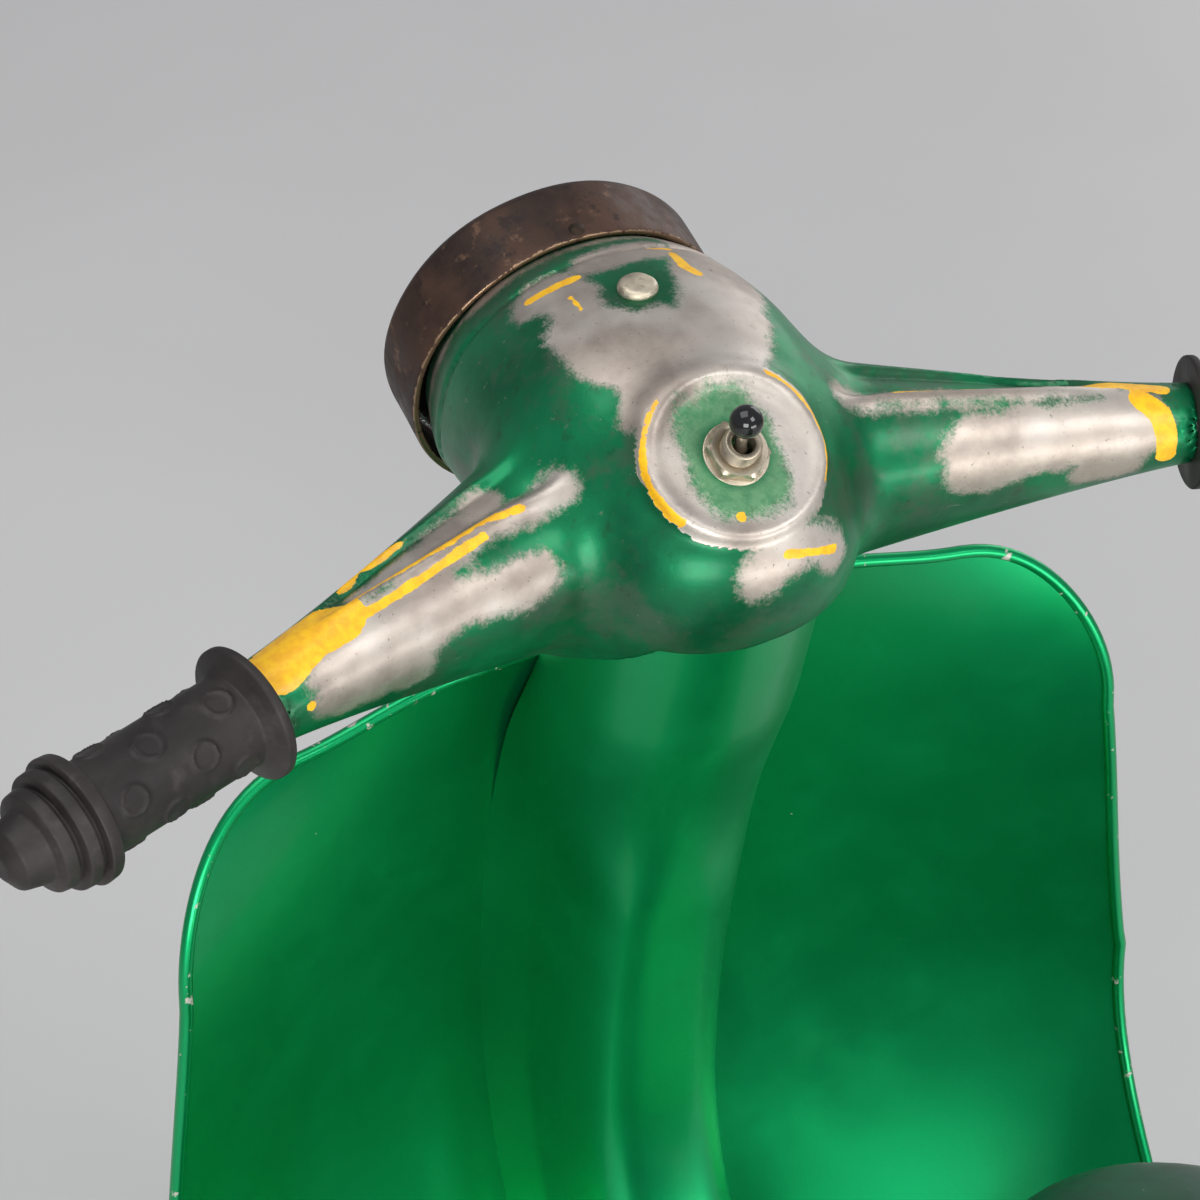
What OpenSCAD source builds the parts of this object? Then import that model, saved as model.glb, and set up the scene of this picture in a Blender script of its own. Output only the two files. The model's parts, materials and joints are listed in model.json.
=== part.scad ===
// Child's ride-on scooter with motor-scooter styling, pushed along with the feet.
// X points forward, Y to the rider's left and Z up. The origin lies on the ground,
// midway between the front of the mudguard and the tail.

/* [Overall] */
// Length over the mudguard and the tail
overall_length = 1096; // [1080:2:1110]
// Radius of both wheels over the tread
wheel_r = 120; // [118:0.5:121]
// Width of the tyres
tyre_w = 56; // [44:1:58]
// Angle of the steering axis from upright
rake = 15; // [14.5:0.1:15.5]

/* [Headset] */
// Radius of the headlight drum
drum_r = 55; // [54:0.5:56]
// Depth of the headlight drum
drum_depth = 27; // [26:0.5:30]
// Radius of the nacelle's front lip
lip_r = 47.5; // [46:0.5:48.5]
// Wall of the headset casting
casting_wall = 4; // [3:0.5:5]
// Length of each grip, from its flange to its tip
grip_length = 89; // [84:1:96]
// Radius of the grip's barrel
grip_r = 14.5; // [13.5:0.5:16]
// Radius of the grip's flanges
flange_r = 21; // [18:1:23]
// Across flats of the switch nut
switch_nut_af = 17; // [16:0.5:19]
// Angle through which the switch lever flips
switch_throw = 32; // [24:1:32]

/* [Leg shield] */
// Height of the shield's top edge above the ground
shield_top_z = 612; // [606:1:614]
// Height of the floorboard above the ground
floor_z = 215; // [213:1:216]
// Thickness of the pressed shield
sheet_t = 1.8; // [1.4:0.2:2.4]
// Depth of the central spine, from the shield to its crest
spine_depth = 72; // [68:0.5:74]
// Half width of the spine where it meets the shield
spine_half_w = 34; // [33:0.5:38]

/* [Body and saddle] */
// Half width of the rear body at its widest
body_half_w = 128; // [120:1:134]
// Half width of the saddle behind its nose
saddle_half_w = 92; // [84:1:96]
// Height of the saddle's crown above the ground
saddle_top_z = 663; // [655:1:668]

/* [Hidden] */
fine = 96;
medium = 48;
gap = 0.3;
run_clearance = 0.05;

paint_green = [0.02, 0.45, 0.22];
dark_green = [0.05, 0.22, 0.13];
bare_steel = [0.62, 0.60, 0.58];
rust_brown = [0.26, 0.16, 0.11];
rubber_grey = [0.13, 0.12, 0.12];
tyre_black = [0.08, 0.08, 0.08];
zinc = [0.72, 0.71, 0.67];

// Wheels and axles
guard_gap = 18;
guard_r = wheel_r + guard_gap;
guard_half_w = 36;
guard_wall = 2;
axle_r = 6;
axle_half = 61;
hub_r = 18;
hub_half = 30;
bead_r = 76;
front_x = overall_length / 2 - guard_r;
rear_x = -overall_length / 2 + 217;

// Steering frame: its Z runs up the steering axis, and its origin is the foot of
// the perpendicular from the front axle's centre
fork_offset = 17.5;
steer_x0 = front_x - fork_offset * cos(rake);
steer_z0 = wheel_r - fork_offset * sin(rake);
crown_h = guard_r + 0.2;
crown_t = 16;
leg_r = 8;
leg_y = 46;
stem_r = 14;
stem_top_h = 575;
neck_top_h = 595;
neck_cover_r = 41;
neck_cover_wall = 2.4;
neck_clear_r = neck_cover_r + 1.5;
tube_r = 20;
tube_bore_r = 17;
tube_low_h = crown_h + crown_t + 8 + 9 + 1.6;
tube_high_h = 480;
ball_r = 2.5;
ball_ring_r = 18;
ball_count = 16;

// Headset, in the steering frame
socket_h = 519.5;
socket_r = 33;
neck_r = socket_r - 1;
pivot_x = 91.2;
drum_dip = 5.1;
lip_reach = 56.8;
drum_back = 6;
boss = [-9.1, 646.4];
boss_tilt = 17;
crown = [58.8, 646.5];
crown_tilt = 15;
flange_at = [-23.6, 156.6, 613.2];
arm_sweep = 18.3;
arm_rise = 4;
arm_len = 128;
bar_r = 11;

// Leg shield and floor
arc_low_r = 206;
arc_high_r = 440;
arc_z = floor_z + arc_low_r;
shield_front_x = front_x - 82;
floor_front_x = shield_front_x - arc_low_r;
floor_back_x = front_x - 469.5;
floor_half_w = 150;
main_tube_r = 14;
main_tube_in = 24;

// Rear body
body_front_x = floor_back_x - gap;
body_tail_x = -overall_length / 2 + 12;
body_wall = 1.8;
post_x = body_front_x - 80;
main_tube_z = floor_z + main_tube_in;
stay_y = 43;
stay_t = 6;
base_top_z = 606;
base_plate_t = 3.8;
post_top_z = base_top_z - base_plate_t - 0.2;
post_r = 11;
stand_x = post_x - 10;
stand_z = 188;

// ---------- shared shapes ----------

module in_steering() {
    translate([steer_x0, 0, steer_z0]) rotate([0, -rake, 0]) children();
}

// Closed skin over rings with equal numbers of points. A thin ring goes out along one
// face of a sheet and comes back along the other.
module skin(rings, thin = false) {
    n = len(rings[0]);
    m = len(rings);
    sides = [for (i = [0:m - 2], j = [0:n - 1])
        let (a = i * n + j, b = i * n + (j + 1) % n)
        each [[a, b + n, b], [a, a + n, b + n]]];
    polyhedron([for (r = rings) each r],
        concat(sides, cap(0, n, thin, false), cap((m - 1) * n, n, thin, true)));
}

function cap(o, n, thin, last) =
    let (tris = thin
        ? [for (j = [0:n / 2 - 2]) each
            [[o + j, o + j + 1, o + n - 2 - j], [o + j, o + n - 2 - j, o + n - 1 - j]]]
        : [for (j = [1:n - 2]) [o, o + j, o + j + 1]])
    last ? [for (t = tris) [t[0], t[2], t[1]]] : tris;

function reversed(v) = [for (i = [len(v) - 1:-1:0]) v[i]];
function smooth(u) = let (c = min(max(u, 0), 1)) c * c * (3 - 2 * c);
function mix(a, b, u) = a + (b - a) * u;
function power(v, e) = sign(v) * pow(abs(v), e);

// Smooth curve through a short list of [place, value] points
function through(points, at) =
    let (last = len(points) - 1,
         i = at <= points[0][0] ? 0 : at >= points[last][0] ? last - 1
            : max([for (k = [0:last - 1]) if (points[k][0] <= at) k]),
         p = points[i], q = points[i + 1],
         before = points[max(i - 1, 0)], after = points[min(i + 2, last)],
         span = q[0] - p[0], u = (at - p[0]) / span,
         slope_p = (q[1] - before[1]) / (q[0] - before[0]) * span,
         slope_q = (after[1] - p[1]) / (after[0] - p[0]) * span)
    (2 * u * u * u - 3 * u * u + 1) * p[1] + (u * u * u - 2 * u * u + u) * slope_p
    + (3 * u * u - 2 * u * u * u) * q[1] + (u * u * u - u * u) * slope_q;

module hex_nut(af, height, bore_r) {
    difference() {
        cylinder(h = height, r = af / 2 / cos(30), $fn = 6);
        translate([0, 0, -1]) cylinder(h = height + 2, r = bore_r, $fn = medium);
    }
}

module sleeve(outer_r, bore_r, height) {
    difference() {
        cylinder(h = height, r = outer_r, $fn = fine);
        translate([0, 0, -1]) cylinder(h = height + 2, r = bore_r, $fn = fine);
    }
}

module dome_head(r, height) {
    sphere_r = (r * r + height * height) / (2 * height);
    intersection() {
        translate([0, 0, height - sphere_r]) sphere(r = sphere_r, $fn = fine);
        cylinder(h = height + 1, r = r, $fn = medium);
    }
}

module dome_screw(head_r, head_h, shank_r, shank_l) {
    dome_head(head_r, head_h);
    translate([0, 0, -shank_l]) cylinder(h = shank_l, r = shank_r, $fn = medium);
}

// ---------- leg shield, spine and floor ----------

// Centre line of the sheet's rider-side face: a negative angle is on the upper arc,
// 0 is the foremost point and 90 is where the floor begins
function path_x(a) = a < 0 ? shield_front_x - arc_high_r * (1 - cos(a))
                           : floor_front_x + arc_low_r * cos(a);
function path_z(a) = arc_z - (a < 0 ? arc_high_r : arc_low_r) * sin(a);
function upper_angle(z) = -asin((z - arc_z) / arc_high_r);

// How fast the sides of the shield sweep back, as x = -bow * y * y
function bow(a) = a < 0
    ? 0.0022 * (1 - 0.8 * pow((path_z(a) - arc_z) / (shield_top_z - arc_z), 4))
    : (0.0022 + 0.004 * sin(a) * sin(a)) * cos(a);

corner_w = 53;
corner_h = 68;
corner_y = 118;
function shield_half_w(a) =
    let (drop = shield_top_z - path_z(a))
    a >= 0 ? mix(187, floor_half_w, smooth((a - 25) / 65))
    : drop < corner_h
        ? corner_y + corner_w * sqrt(1 - pow(1 - drop / corner_h, 2))
        : corner_y + corner_w + 0.128 * (drop - corner_h);

shield_cols = 24;
function shield_face(a, out) = [for (j = [0:shield_cols])
    let (y = shield_half_w(a) * (2 * j / shield_cols - 1), turn = max(a, 0))
    [path_x(a) - bow(a) * y * y + out * cos(turn), y, path_z(a) - out * sin(turn)]];

shield_angles = concat(
    [for (i = [0:11]) upper_angle(shield_top_z - (shield_top_z - arc_z) * pow(i / 12, 1.6))],
    [for (i = [0:12]) i * 7.5]);

module leg_shield() {
    color(paint_green) difference() {
        skin([for (a = shield_angles) concat(shield_face(a, 0), reversed(shield_face(a, sheet_t)))],
            thin = true);
        in_steering() translate([0, 0, tube_low_h]) cylinder(h = 212, r = tube_r + 1, $fn = medium);
    }
}

module floorboard() {
    length = floor_front_x - gap - floor_back_x;
    color(paint_green) {
        translate([floor_back_x, -floor_half_w, floor_z - sheet_t])
            cube([length, 2 * floor_half_w, sheet_t]);
        for (side = [-1, 1])
            translate([floor_back_x, side * (floor_half_w - sheet_t / 2) - sheet_t / 2,
                       floor_z - sheet_t - 12])
                cube([length, sheet_t, 12.5]);
    }
}

strip_ys = [62, 86, 110, 134];
strip_l = 150;
strip_x = floor_back_x + 16;
module floor_strips() {
    color(rubber_grey) for (side = [-1, 1], y = strip_ys)
        translate([strip_x, side * y - 4, floor_z]) cube([strip_l, 8, 4]);
}

module floor_rivets() {
    color(zinc) for (side = [-1, 1], y = strip_ys, x = [10, strip_l - 10])
        translate([strip_x + x, side * y, floor_z + 4]) dome_head(3, 1.4);
}

// Half of the spine's section at depth p above the sheet
spine_steps = 14;
neck_reach = 66.5;
function flare(a) = smooth((path_z(a) - 520) / (shield_top_z - 520));
function spine_point(a, base, half_w, depth, t) =
    let (e = mix(0.55, 0.9, flare(a)),
         p = base + (depth - base) * pow(sin(t), e),
         y = half_w * power(cos(t), e) * (1 - 0.13 * (1 - flare(a)) * p / depth),
         turn = max(a, 0))
    [path_x(a) - p * cos(turn), y, path_z(a) + p * sin(turn)];

spine_wall = 1.6;
function spine_arch(a, inset) =
    let (half_w = mix(spine_half_w, neck_cover_r, flare(a)),
         depth = mix(spine_depth, neck_reach, flare(a)),
         base = bow(a) * half_w * half_w + 3 * gap)
    [for (i = [0:spine_steps])
        spine_point(a, base, half_w - inset, depth - inset, 180 * i / spine_steps)];

function spine_ring(a) = concat(spine_arch(a, 0), reversed(spine_arch(a, spine_wall)));

module spine_cover() {
    upper = [for (i = [0:9]) mix(upper_angle(shield_top_z), 0, pow(i / 10, 1.3))];
    foot = spine_ring(90);
    back = floor_back_x + gap - floor_front_x;
    color(paint_green) skin(reversed(concat(
        [for (a = upper) spine_ring(a)],
        [for (i = [0:10]) spine_ring(i * 9)],
        [for (s = [0.5, 1]) [for (q = foot) q + [back * s, 0, 0]]])), thin = true);
}

// Collar on top of the shield, round the neck of the headset
module neck_cover() {
    low_z = shield_top_z + gap;
    color(paint_green) difference() {
        in_steering() translate([0, 0, tube_high_h])
            cylinder(h = neck_top_h - 2 - tube_high_h, r = neck_cover_r, $fn = fine);
        in_steering() translate([0, 0, tube_high_h - 20])
            cylinder(h = neck_top_h + 40 - tube_high_h, r = neck_cover_r - neck_cover_wall, $fn = fine);
        translate([steer_x0 - 250, -80, low_z - 80]) cube([200, 160, 80]);
    }
}

// Cover over the foot of the head tube, on the front of the shield
nose_low_z = 290;
nose_high_z = 470;
nose_steps = 12;
function lower_angle(z) = z > arc_z ? upper_angle(z) : asin((arc_z - z) / arc_low_r);
function steer_x(z) = steer_x0 - (z - steer_z0) * tan(rake);
function nose_front(z) =
    let (u = (z - nose_low_z) / (nose_high_z - nose_low_z), tip = path_x(lower_angle(nose_high_z)) + 5.2)
    mix(steer_x(nose_low_z) + 27, tip, pow(u, 0.85));
function nose_arch(z, inset) =
    let (a = lower_angle(z), u = (z - nose_low_z) / (nose_high_z - nose_low_z),
         half_w = mix(42, 15, pow(u, 1.4)) - inset,
         sheet_x = path_x(a) + sheet_t / max(cos(max(a, 0)), 0.3) + gap,
         front = nose_front(z) - inset)
    [for (i = [0:nose_steps])
        let (t = 180 * i / nose_steps, y = half_w * power(cos(t), 0.8), foot = sheet_x - bow(a) * y * y)
        [foot + (front - foot) * pow(sin(t), 0.7), y, z]];

module nose_cover() {
    rows = 9;
    color(paint_green) skin([for (i = [0:rows])
        let (z = mix(nose_high_z, nose_low_z, i / rows))
        concat(nose_arch(z, 0), reversed(nose_arch(z, 2)))], thin = true);
}

// ---------- frame, bearings and stand mounting ----------

// Flat bar in the XZ plane between two points, centred on y
module bar_xz(p, q, width, y, t) {
    dx = q[0] - p[0];
    dz = q[1] - p[1];
    length = sqrt(dx * dx + dz * dz);
    translate([p[0], y - t / 2, p[1]]) rotate([0, -atan2(dz, dx), 0])
        translate([0, 0, -width / 2]) cube([length, t, width]);
}

module ear(x, z, r, y, t) {
    translate([x, y + t / 2, z]) rotate([90, 0, 0]) cylinder(h = t, r = r, $fn = fine);
}

ear_y = 37;
ear_t = 5;
cross_r = 12;
module main_frame() {
    color(dark_green) difference() {
        union() {
            in_steering() translate([0, 0, tube_low_h])
                cylinder(h = tube_high_h - tube_low_h, r = tube_r, $fn = fine);
            translate([floor_front_x, 0, arc_z]) rotate([90, 0, 0]) rotate([0, 0, -90])
                rotate_extrude(angle = 98, $fn = fine)
                    translate([arc_low_r - main_tube_in, 0]) circle(r = main_tube_r, $fn = medium);
            translate([post_x + cross_r + 0.1, 0, main_tube_z]) rotate([0, 90, 0])
                cylinder(h = floor_front_x - post_x - cross_r - 0.1, r = main_tube_r, $fn = medium);
        }
        in_steering() translate([0, 0, tube_low_h - 20])
            cylinder(h = tube_high_h - tube_low_h + 40, r = tube_bore_r, $fn = fine);
    }
}

module rear_frame() {
    color(dark_green) difference() {
        union() {
            along_y(post_x, main_tube_z, -stay_y - stay_t / 2)
                cylinder(h = 2 * stay_y + stay_t, r = cross_r, $fn = medium);
            translate([post_x, 0, main_tube_z])
                cylinder(h = post_top_z - 5 - main_tube_z, r = post_r, $fn = medium);
            translate([post_x - 60, -40, post_top_z - 6]) cube([120, 80, 6]);
            for (side = [-1, 1]) {
                bar_xz([post_x, main_tube_z], [rear_x, wheel_r], 22, side * stay_y, stay_t);
                ear(rear_x, wheel_r, 16, side * stay_y, stay_t);
                ear(stand_x, stand_z, 12, side * ear_y, ear_t);
                bar_xz([post_x, main_tube_z], [stand_x, stand_z], 18, side * ear_y, ear_t);
            }
        }
        along_y(rear_x, wheel_r, -60) cylinder(h = 120, r = axle_r, $fn = fine);
        along_y(stand_x, stand_z, -60) cylinder(h = 120, r = 5, $fn = fine);
        for (x = [-45, 45]) translate([post_x + x, 0, post_top_z - 10])
            cylinder(h = 20, r = 4, $fn = medium);
    }
}

// Bearing cup: a flanged bowl pressed into the end of the head tube, open upwards
module cup() {
    rotate_extrude($fn = fine) polygon([
        [15, -4], [21.5, -4], [21.5, 9], [24, 9], [24, -8], [tube_r, -8], [tube_r, -9],
        [tube_bore_r, -9], [tube_bore_r, -17], [15, -17]]);
}

module lower_cup() {
    color(zinc) in_steering() translate([0, 0, tube_low_h - 9]) mirror([0, 0, 1]) cup();
}

module upper_cup() {
    color(zinc) in_steering() translate([0, 0, tube_high_h + 9]) cup();
}

module cone() {
    rotate_extrude($fn = fine) polygon([[stem_r, 0], [21, 0], [21, 8], [stem_r, 8]]);
}

ball_h = 1.6;
module lower_cone() {
    color(zinc) in_steering() translate([0, 0, tube_low_h - 9 - ball_h]) mirror([0, 0, 1]) cone();
}

module upper_cone() {
    color(zinc) in_steering() translate([0, 0, tube_high_h + 9 + ball_h]) cone();
}

module bearing_balls() {
    drop = ball_r + 0.1 - ball_h;
    color(zinc) in_steering()
        for (i = [0:ball_count - 1], h = [tube_low_h - 9 + drop, tube_high_h + 9 - drop])
            rotate([0, 0, 360 * i / ball_count])
                translate([ball_ring_r, 0, h]) sphere(r = ball_r, $fn = 32);
}

module lock_nut() {
    color(zinc) in_steering() translate([0, 0, tube_high_h + 9 + ball_h + 8 + 0.1]) hex_nut(34, 7, stem_r);
}

// ---------- rear body and saddle ----------

body_steps = 20;
tail_open_w = 26;
function body_u(x) = (body_front_x - x) / (body_front_x - body_tail_x);
body_top_z = 587;
body_lean = 38;
function front_round(u) = sqrt(1 - pow(max(1 - u / 0.07, 0), 2) * 0.22);
function body_top(u) = (body_top_z - 212 * pow(smooth((u - 0.4) / 0.64), 1.1)) * mix(1, front_round(u), 0.35);
function body_low(u) = 203 + 112 * pow(u, 3.2);
function body_w(u) = let (stern = max((u - 0.72) / 0.28, 0))
    mix(mix(104, body_half_w, smooth(u / 0.45)), 84, smooth((u - 0.45) / 0.5))
    * sqrt(1 - 0.88 * stern * stern) * front_round(u);
function body_arch(u, inset) = [for (i = [0:body_steps])
    let (t = 180 * i / body_steps, rise = pow(sin(t), 0.75),
         top = body_top(u) - inset, low = body_low(u),
         waist = 1 - 0.26 * smooth((rise - 0.45) / 0.6) + 0.05 * sin(180 * min(rise * 1.3, 1)))
    [body_front_x - u * (body_front_x - body_tail_x) + body_lean * pow(1 - u, 3) * rise,
     (body_w(u) - inset) * power(cos(t), 0.62) * waist, low + (top - low) * rise]];

module rear_body() {
    rows = 22;
    color(paint_green) difference() {
        skin([for (i = [rows:-1:0]) let (u = pow(i / rows, 1.25))
            concat(body_arch(u, 0), reversed(body_arch(u, body_wall)))], thin = true);
        translate([post_x, 0, body_top_z - 60]) cylinder(h = 90, r = post_r + 2, $fn = medium);
    }
}

module body_bulkhead() {
    tunnel_w = spine_half_w + 1;
    arch = body_arch(0, body_wall + gap);
    color(paint_green) difference() {
        skin([for (back = [3, 1]) [for (q = arch) q - [back, 0, 0]]]);
        translate([body_front_x - 10, -tunnel_w, floor_z - 20])
            cube([30, 2 * tunnel_w, spine_depth + 21]);
    }
}

// Screws of the rear body and the nose cover
body_screw_us = [0.12, 0.5, 0.78];
nose_screw_zs = [330, 425];
module cover_screws() {
    color(zinc) {
        for (u = body_screw_us, side = [-1, 1]) {
            q = body_arch(u, 0)[side > 0 ? 1 : body_steps - 1];
            translate([q[0], q[1] + side * 1.3, q[2]]) rotate([side * -90, 0, 0]) dome_head(4, 2);
        }
        for (z = nose_screw_zs) translate([nose_front(z) + 0.9, 0, z]) rotate([0, 78, 0]) dome_head(4, 2);
    }
}

saddle_nose_x = front_x - 395;
saddle_rear_x = saddle_nose_x - 330;
nose_len = 120;
nose_half_w = 78;
saddle_cols = 18;
saddle_crown = 39.5;
function saddle_round(x) =
    let (front = max((x - (saddle_nose_x - nose_len)) / nose_len, 0),
         rear = max((saddle_rear_x + 70 - x) / 70, 0))
    sqrt(max(1 - front * front, 0)) * sqrt(max(1 - rear * rear, 0));
function saddle_ring(x, inset, low) =
    let (s = saddle_round(x), back = smooth((saddle_nose_x - nose_len - x) / 120),
         half_w = mix(nose_half_w, saddle_half_w, back) * s - inset,
         middle_z = saddle_top_z - saddle_crown, crown_z = saddle_crown * s - inset)
    concat([[x, half_w, low]],
        [for (i = [0:saddle_cols]) let (t = 180 * i / saddle_cols)
            [x, half_w * cos(t), middle_z + crown_z * sin(t)]],
        [[x, -half_w, low]]);

// Rings from the rear to the nose, closer together near both ends
function saddle_rings(rows, ends, inset, low) = [for (i = [0:rows])
    saddle_ring(mix(saddle_rear_x + ends, saddle_nose_x - ends, (1 - cos(180 * i / rows)) / 2), inset, low)];

module saddle() {
    rows = 16;
    wall = 3;
    ends = 3.2;
    color(dark_green) difference() {
        skin(saddle_rings(rows, ends, 0, base_top_z));
        skin(saddle_rings(rows, 4 * ends, wall, base_top_z - 2));
    }
}

module saddle_base() {
    outline = [for (i = [0:2 * saddle_cols]) let (x = mix(saddle_nose_x - 26, saddle_rear_x + 22,
        (1 - cos(180 * i / (2 * saddle_cols))) / 2)) [x, saddle_ring(x, 6, 0)[0][1]]];
    other = reversed([for (q = outline) [q[0], -q[1]]]);
    color(bare_steel) translate([0, 0, post_top_z]) difference() {
        linear_extrude(height = base_plate_t) polygon(concat(outline, other));
        for (x = [-45, 45]) translate([post_x + x, 0, -5]) cylinder(h = 20, r = 4, $fn = medium);
    }
}

module saddle_bolts() {
    color(zinc) for (x = [-45, 45]) translate([post_x + x, 0, post_top_z]) {
        translate([0, 0, -9]) cylinder(h = 17, r = 4, $fn = medium);
        translate([0, 0, -9.2]) cylinder(h = 3.2, r = 6.5, $fn = 6);
    }
}

module battery_box() {
    color([0.1, 0.1, 0.1]) translate([post_x + post_r + gap, -38, 340])
        cube([44, 76, 70]);
}

module tail_lamp_base() {
    color(zinc) translate([body_tail_x, 0, 348]) rotate([0, -90, 0]) cylinder(h = 4, r = 36, $fn = fine);
}

module tail_lamp_lens() {
    color([0.6, 0.02, 0.02]) translate([body_tail_x - 4, 0, 348]) rotate([0, -90, 0])
        rotate_extrude($fn = fine) polygon([[0, 0], [28, 0], [28, 3], [24, 6], [14, 7.6], [0, 8]]);
}

// ---------- wheels ----------

module along_y(x, z, y0) {
    translate([x, y0, z]) rotate([-90, 0, 0]) children();
}

tyre_steps = 28;
function tyre_section() =
    let (mid_r = (wheel_r + bead_r) / 2, half_r = (wheel_r - bead_r) / 2)
    [for (i = [0:tyre_steps - 1])
        let (t = 360 * i / tyre_steps + 180 / tyre_steps)
        [max(mid_r + half_r * power(sin(t), 0.8), bead_r), tyre_w / 2 * power(cos(t), 0.72)]];

module tyre(x) {
    color(tyre_black) along_y(x, wheel_r, 0) rotate_extrude($fn = fine) polygon(tyre_section());
}

hole_count = 6;
module rim(x) {
    color(zinc) along_y(x, wheel_r, 0) difference() {
        rotate_extrude($fn = fine) polygon([
            [hub_r, -6], [hub_r, 6], [30, 6], [40, 2], [62, 2], [68, 17], [bead_r, 19],
            [bead_r, -19], [68, -17], [62, -2], [40, -2], [30, -6]]);
        for (i = [0:hole_count - 1]) rotate([0, 0, 360 * i / hole_count])
            translate([51, 0, -20]) cylinder(h = 40, r = 7, $fn = medium);
    }
}

module hub(x) {
    color(bare_steel) along_y(x, wheel_r, -hub_half) sleeve(hub_r, axle_r + run_clearance, 2 * hub_half);
}

module axle(x, half) {
    color(zinc) along_y(x, wheel_r, -half) cylinder(h = 2 * half, r = axle_r, $fn = fine);
}

module axle_nuts(x, from) {
    color(zinc) for (side = [-1, 1])
        along_y(x, wheel_r, side > 0 ? from : -from - 8) hex_nut(18, 8, axle_r);
}

module spacers(x, to) {
    color(zinc) for (side = [-1, 1])
        along_y(x, wheel_r, side > 0 ? hub_half + gap : -to) sleeve(10, axle_r, to - hub_half - gap);
}

module front_rim() rim(front_x);
module front_tyre() tyre(front_x);
module front_hub() hub(front_x);
module rear_rim() rim(rear_x);
module rear_tyre() tyre(rear_x);
module rear_hub() hub(rear_x);
module front_axle() axle(front_x, axle_half);
module rear_axle() axle(rear_x, axle_half - 4);
module front_axle_nuts() axle_nuts(front_x, leg_y + 5);
module rear_axle_nuts() axle_nuts(rear_x, stay_y + stay_t / 2);
module front_spacers() spacers(front_x, leg_y - 5);
module rear_spacers() spacers(rear_x, stay_y - stay_t / 2);

// ---------- stand ----------

stand_foot_y = 104;
stand_foot_x = 16;
foot_h = 12;
module stand_leg(side) {
    rise = stand_z - foot_h;
    run_y = stand_foot_y - 18;
    length = sqrt(rise * rise + run_y * run_y + stand_foot_x * stand_foot_x);
    translate([stand_x + stand_foot_x, side * stand_foot_y, foot_h])
        rotate([0, 0, atan2(-side * run_y, -stand_foot_x)]) rotate([0, acos(rise / length), 0])
            cylinder(h = length, r = 7, $fn = medium);
}

module centre_stand() {
    color(zinc) difference() {
        union() {
            along_y(stand_x, stand_z, -ear_y + ear_t / 2 + gap)
                cylinder(h = 2 * (ear_y - ear_t / 2 - gap), r = 10, $fn = fine);
            stand_leg(1);
            stand_leg(-1);
        }
        along_y(stand_x, stand_z, -60) cylinder(h = 120, r = 5 + run_clearance, $fn = fine);
        translate([stand_x - 100, -200, -50]) cube([200, 400, 50 + foot_h]);
    }
}

module stand_feet() {
    color(rubber_grey) for (side = [-1, 1])
        translate([stand_x + stand_foot_x, side * stand_foot_y, 0]) rotate_extrude($fn = fine)
            polygon([[0, 0], [13, 0], [14, 3], [12, foot_h], [0, foot_h]]);
}

module stand_pin() {
    color(zinc) along_y(stand_x, stand_z, -46) cylinder(h = 92, r = 5, $fn = fine);
}

// ---------- fork and front mudguard ----------

module fork() {
    color(dark_green) in_steering() difference() {
        union() {
            for (side = [-1, 1]) {
                translate([fork_offset, side * leg_y, 0]) cylinder(h = crown_h + 2, r = leg_r, $fn = medium);
                translate([fork_offset, side * leg_y + 5, 0]) rotate([90, 0, 0])
                    cylinder(h = 10, r = 14, $fn = fine);
            }
            translate([-16, -leg_y - leg_r, crown_h]) cube([46, 2 * (leg_y + leg_r), crown_t]);
            translate([0, 0, crown_h + 1])
                cylinder(h = stem_top_h - crown_h - 1, r = stem_r, $fn = fine);
        }
        translate([fork_offset, 70, 0]) rotate([90, 0, 0]) cylinder(h = 140, r = axle_r, $fn = fine);
        translate([fork_offset, 0, crown_h - 1]) cylinder(h = 12, r = 4, $fn = medium);
        for (side = [-1, 1]) translate([fork_offset - 20, side * (leg_y + 15) - 10, -20]) cube([40, 20, 40]);
        for (side = [-1, 1]) translate([fork_offset - 20, side * (leg_y - 15) - 10, -20]) cube([40, 20, 40]);
    }
}

guard_front = 8;
guard_sweep = 165;
module front_mudguard() {
    skirt = 26;
    color(paint_green) translate([front_x, 0, wheel_r]) rotate([90, 0, 0]) rotate([0, 0, guard_front])
        difference() {
            rotate_extrude(angle = guard_sweep, $fn = fine) polygon([
                [guard_r - skirt, -guard_half_w], [guard_r - 8, -guard_half_w],
                [guard_r, -guard_half_w + 12], [guard_r, guard_half_w - 12],
                [guard_r - 8, guard_half_w], [guard_r - skirt, guard_half_w],
                [guard_r - skirt, guard_half_w - guard_wall],
                [guard_r - 8.8, guard_half_w - guard_wall],
                [guard_r - guard_wall, guard_half_w - 12.8],
                [guard_r - guard_wall, -guard_half_w + 12.8],
                [guard_r - 8.8, -guard_half_w + guard_wall],
                [guard_r - skirt, -guard_half_w + guard_wall]]);
            rotate([0, 0, 90 + rake - guard_front]) rotate([0, 90, 0])
                translate([0, 0, guard_r - 20]) cylinder(h = 40, r = 4, $fn = medium);
        }
}

module mudguard_bolt() {
    color(zinc) in_steering() translate([fork_offset, 0, guard_r - guard_wall]) {
        cylinder(h = 10, r = 4, $fn = medium);
        translate([0, 0, -5]) cylinder(h = 4.8, r = 7.5, $fn = 6);
        translate([0, 0, -0.3]) cylinder(h = 0.5, r = 4, $fn = medium);
    }
}

// ---------- headset ----------

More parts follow.
